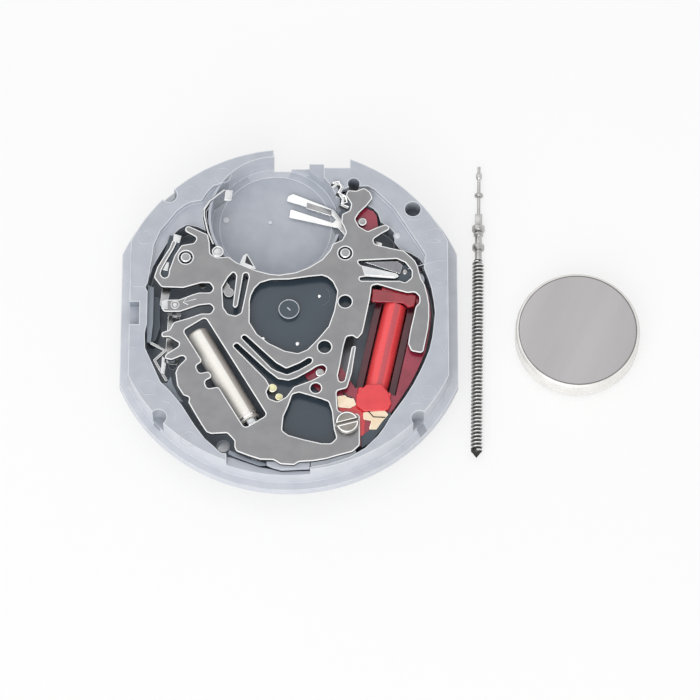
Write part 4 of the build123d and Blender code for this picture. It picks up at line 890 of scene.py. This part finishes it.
mesh = bmesh.new()
add_circle(mesh, 2.3, 1.24, 2.5, 0.8, 0.02, -80, 130)
bmesh.ops.holes_fill(mesh, edges=[edge for edge in mesh.edges if edge.is_boundary], sides=6)
bead_piece(mesh, "bridge_mark", "slate_edge_painted_highlight")

# %% [markdown]
# The crystal's can is crimped on to its base in two narrow rings, whose near-white finish is a painted
# highlight.
# They are spun round the can's own axis. The last point of their profile is the first one again, so each ring
# is closed.

# %% Crimped collars on the crystal
crystal_foot = Vector((-2.9 * mm, -8.8 * mm, 1.95 * mm))
crystal_way = Vector((-math.sin(crystal_turn), math.cos(crystal_turn), 0))
crystal_matrix = Matrix.Translation(crystal_foot) @ crystal_way.to_track_quat("Z", "Y").to_matrix().to_4x4()
mesh = bmesh.new()
for low, high, radius in [(0.12, 0.3, 0.9), (0.48, 0.56, 0.875)]:
    collar = [(0.8, low), (radius, low + 0.03), (radius, high - 0.03), (0.8, high)]
    turned(mesh, [(r * mm, h * mm) for r, h in [*collar, collar[0]]], 32, crystal_matrix)
close_up(mesh)
make_piece(mesh, "crystal_collars", "movement", ["bright_edge_painted_highlight"])

# %% [markdown]
# The train's arbors end in polished pivots, which show as bright dots in the bridge: their near-white finish
# is a painted highlight. Each is a low dome, spun from half a profile, and so are the pin in the right slot
# and the moulded marks on the ring, whose light finish is a painted highlight too.

# %% Pivot ends and moulded marks
def add_dome(mesh, x, y, z, radius, rise):
    """A low domed head."""
    profile = [(0, rise), (radius * 0.5, rise * 0.85), (radius * 0.85, rise * 0.45), (radius, 0),
               (radius, -rise), (0, -rise)]
    turned(mesh, [(r * mm, h * mm) for r, h in profile], 24, Matrix.Translation((x * mm, y * mm, z * mm)))


mesh = bmesh.new()
add_dome(mesh, 2.3, 1.24, 2.5, 0.13, 0.05)
add_dome(mesh, 0.65, -2.7, 2.5, 0.15, 0.05)
add_dome(mesh, -1.95, -2.27, 2.5, 0.12, 0.04)
close_up(mesh)
make_piece(mesh, "pivot_ends", "movement", ["bright_edge_painted_highlight"])

mesh = bmesh.new()
add_dome(mesh, 8.79, 3.05, 2.95, 0.24, 0.1)
close_up(mesh)
make_piece(mesh, "slot_pin", "movement", ["pin_steel"])

mesh = bmesh.new()
add_dome(mesh, 8.2, 6.2, ledge_top, 0.3, 0.14)
add_dome(mesh, -4.9, 8.35, floor_top, 0.24, 0.03)
add_dome(mesh, -1.5, 8.15, floor_top, 0.16, 0.03)
close_up(mesh)
make_piece(mesh, "moulding_marks", "movement", ["ring_edge_painted_highlight"])

# %% [markdown]
# On the real hook contact a bow runs over the strip. Its near-white finish is a painted highlight, and a dark
# line beside it is its painted shadow. One list of points serves both: the shadow is the same line, moved
# aside and down.

# %% Bow of the hook contact
bow_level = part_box("hook_contact")[1].z / mm
bow = [(3.28, 10.34), (3.76, 10.44), (3.95, 9.93), (3.7, 9.51), (4.27, 9.2), (4.38, 8.69), (3.95, 8.54),
       (4.52, 8.28)]
mesh = bmesh.new()
add_line(mesh, [(x, y, bow_level) for x, y in bow], 0.09)
bead_piece(mesh, "hook_bow", "bright_edge_painted_highlight")
print("bow at", round(bow_level, 2), "mm")

mesh = bmesh.new()
add_line(mesh, [(x - 0.12, y - 0.14, bow_level - 0.1) for x, y in bow], 0.1)
# Two more painted shadow lines part the brass contacts beside the screw.
add_line(mesh, [(6.0, -8.35, 2.83), (6.37, -8.78, 2.83), (7.25, -8.82, 2.83)], 0.045)
add_line(mesh, [(4.04, -6.75, 2.83), (4.42, -7.15, 2.83), (4.8, -7.25, 2.83)], 0.045)
bead_piece(mesh, "contact_painted_shadows", "painted_shadow_line")

# %% [markdown]
# The cover plate's tongue at the left has a dimple with a rim and a small arrow, and a leaf is riveted to the
# plate above it. Beads in a near-white finish, a painted highlight, draw the rims and the arrow, and domes
# make the dimple's floor and the rivet.

# %% Marks and rivets on the cover plate
mesh = bmesh.new()
add_circle(mesh, -8.6, 0.2, plate_top, 0.3, 0.03)
add_line(mesh, [(-7.0, 0.68, plate_top), (-8.0, 0.4, plate_top), (-7.75, 0.75, plate_top)], 0.03)
add_line(mesh, [(-8.0, 0.4, plate_top), (-7.6, 0.2, plate_top)], 0.03)
add_circle(mesh, -5.42, 4.6, plate_top + 0.02, 0.4, 0.05)
bead_piece(mesh, "plate_marks", "stamped_edge_painted_highlight")

mesh = bmesh.new()
add_dome(mesh, -5.42, 4.6, plate_top - 0.02, 0.34, 0.07)
add_dome(mesh, -8.6, 0.2, plate_top - 0.02, 0.2, 0.05)
close_up(mesh)
make_piece(mesh, "leaf_rivet", "movement", ["bright_steel"])

# %% [markdown]
# The stage is a plain floor at the level of the lowest piece, under soft light. A real white table looks
# white, but more light would bleach the pieces, so the floor and the room are shown nearly white to the
# camera and to reflections only. As a light they stay plain, and the object keeps its soft shadow. Right
# under the movement the floor isn't whitened, so that the movement's through holes stay as dark as they are.

# %% Floor
def seen_directly(tree):
    """A value that is 1 where the eye, a reflection or glass looks at a surface, and 0 for plain light."""
    path = tree.nodes.new("ShaderNodeLightPath")
    either = tree.nodes.new("ShaderNodeMath")
    either.operation = "MAXIMUM"
    any_of = tree.nodes.new("ShaderNodeMath")
    any_of.operation = "MAXIMUM"
    tree.links.new(path.outputs["Is Camera Ray"], either.inputs[0])
    tree.links.new(path.outputs["Is Glossy Ray"], either.inputs[1])
    tree.links.new(either.outputs["Value"], any_of.inputs[0])
    tree.links.new(path.outputs["Is Transmission Ray"], any_of.inputs[1])
    return any_of.outputs["Value"]


floor_size = 900 * mm
white_share = 0.72
dark_reach = 10.5 * mm
white_reach = 12.5 * mm
mesh = bmesh.new()
bmesh.ops.create_grid(mesh, x_segments=1, y_segments=1, size=floor_size)
bmesh.ops.translate(mesh, verts=mesh.verts, vec=(0, 0, cad_low.z))
floor_data = bpy.data.meshes.new("floor")
mesh.to_mesh(floor_data)
mesh.free()
floor = bpy.data.objects.new("floor", floor_data)
table = finish("table", tone(250, 250, 250), tone(247, 247, 247), (0.6, 0.7), clouds=20)
floor_data.materials.append(table)
bpy.context.scene.collection.objects.link(floor)
floor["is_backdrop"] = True

tree = table.node_tree
glow = tree.nodes.new("ShaderNodeEmission")
amount = tree.nodes.new("ShaderNodeMath")
amount.operation = "MULTIPLY"
amount.inputs[1].default_value = white_share
blend = tree.nodes.new("ShaderNodeMixShader")
place = tree.nodes.new("ShaderNodeTexCoord")
reach = tree.nodes.new("ShaderNodeVectorMath")
reach.operation = "LENGTH"
outside = tree.nodes.new("ShaderNodeMapRange")
outside.inputs["From Min"].default_value = dark_reach
outside.inputs["From Max"].default_value = white_reach
both = tree.nodes.new("ShaderNodeMath")
both.operation = "MULTIPLY"
tree.links.new(place.outputs["Object"], reach.inputs[0])
tree.links.new(reach.outputs["Value"], outside.inputs["Value"])
tree.links.new(seen_directly(tree), amount.inputs[0])
tree.links.new(amount.outputs["Value"], both.inputs[0])
tree.links.new(outside.outputs["Result"], both.inputs[1])
tree.links.new(both.outputs["Value"], blend.inputs["Fac"])
tree.links.new(tree.nodes["Principled BSDF"].outputs["BSDF"], blend.inputs[1])
tree.links.new(glow.outputs["Emission"], blend.inputs[2])
tree.links.new(blend.outputs["Shader"], tree.nodes["Material Output"].inputs["Surface"])
print("floor at", round(cad_low.z / mm, 2), "mm")

# %% [markdown]
# The light is a bright room, a large lamp from the upper left and a lower, stronger one from the front. Each
# lamp's power is worked out from the share of full light that it adds to a flat white face.

# %% Room and lamps
room_light = 0.62
world = bpy.data.worlds.new("room")
world.use_nodes = True
bpy.context.scene.world = world
tree = world.node_tree
background = tree.nodes["Background"]
background.inputs["Color"].default_value = (1, 1, 1, 1)
level = tree.nodes.new("ShaderNodeMapRange")
level.inputs["To Min"].default_value = room_light
level.inputs["To Max"].default_value = 1
tree.links.new(seen_directly(tree), level.inputs["Value"])
tree.links.new(level.outputs["Result"], background.inputs["Strength"])


lamp_distance = 300 * mm
lamp_size = 260 * mm


def lamp(name, azimuth, rise, share):
    """A square lamp that adds a share of full light to a flat white face below it."""
    data = bpy.data.lights.new(name, "AREA")
    data.size = lamp_size
    data.energy = share * math.pi ** 2 * lamp_distance ** 2 / math.sin(math.radians(rise))
    away = Vector((math.sin(math.radians(azimuth)) * math.cos(math.radians(rise)),
                   math.cos(math.radians(azimuth)) * math.cos(math.radians(rise)),
                   math.sin(math.radians(rise))))
    lamp_object = bpy.data.objects.new(name, data)
    lamp_object.location = target + away * lamp_distance
    lamp_object.rotation_mode = "QUATERNION"
    lamp_object.rotation_quaternion = (-away).to_track_quat("-Z", "Y")
    bpy.context.scene.collection.objects.link(lamp_object)
    print(name, "has", round(data.energy, 3), "watts")


lamp("window_lamp", -35, 55, 0.08)
lamp("front_lamp", 195, 38, 0.36)

# %% [markdown]
# Last, the model's box is measured again: a dressed part must not be larger than its construction.

# %% Measure and finish
low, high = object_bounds()
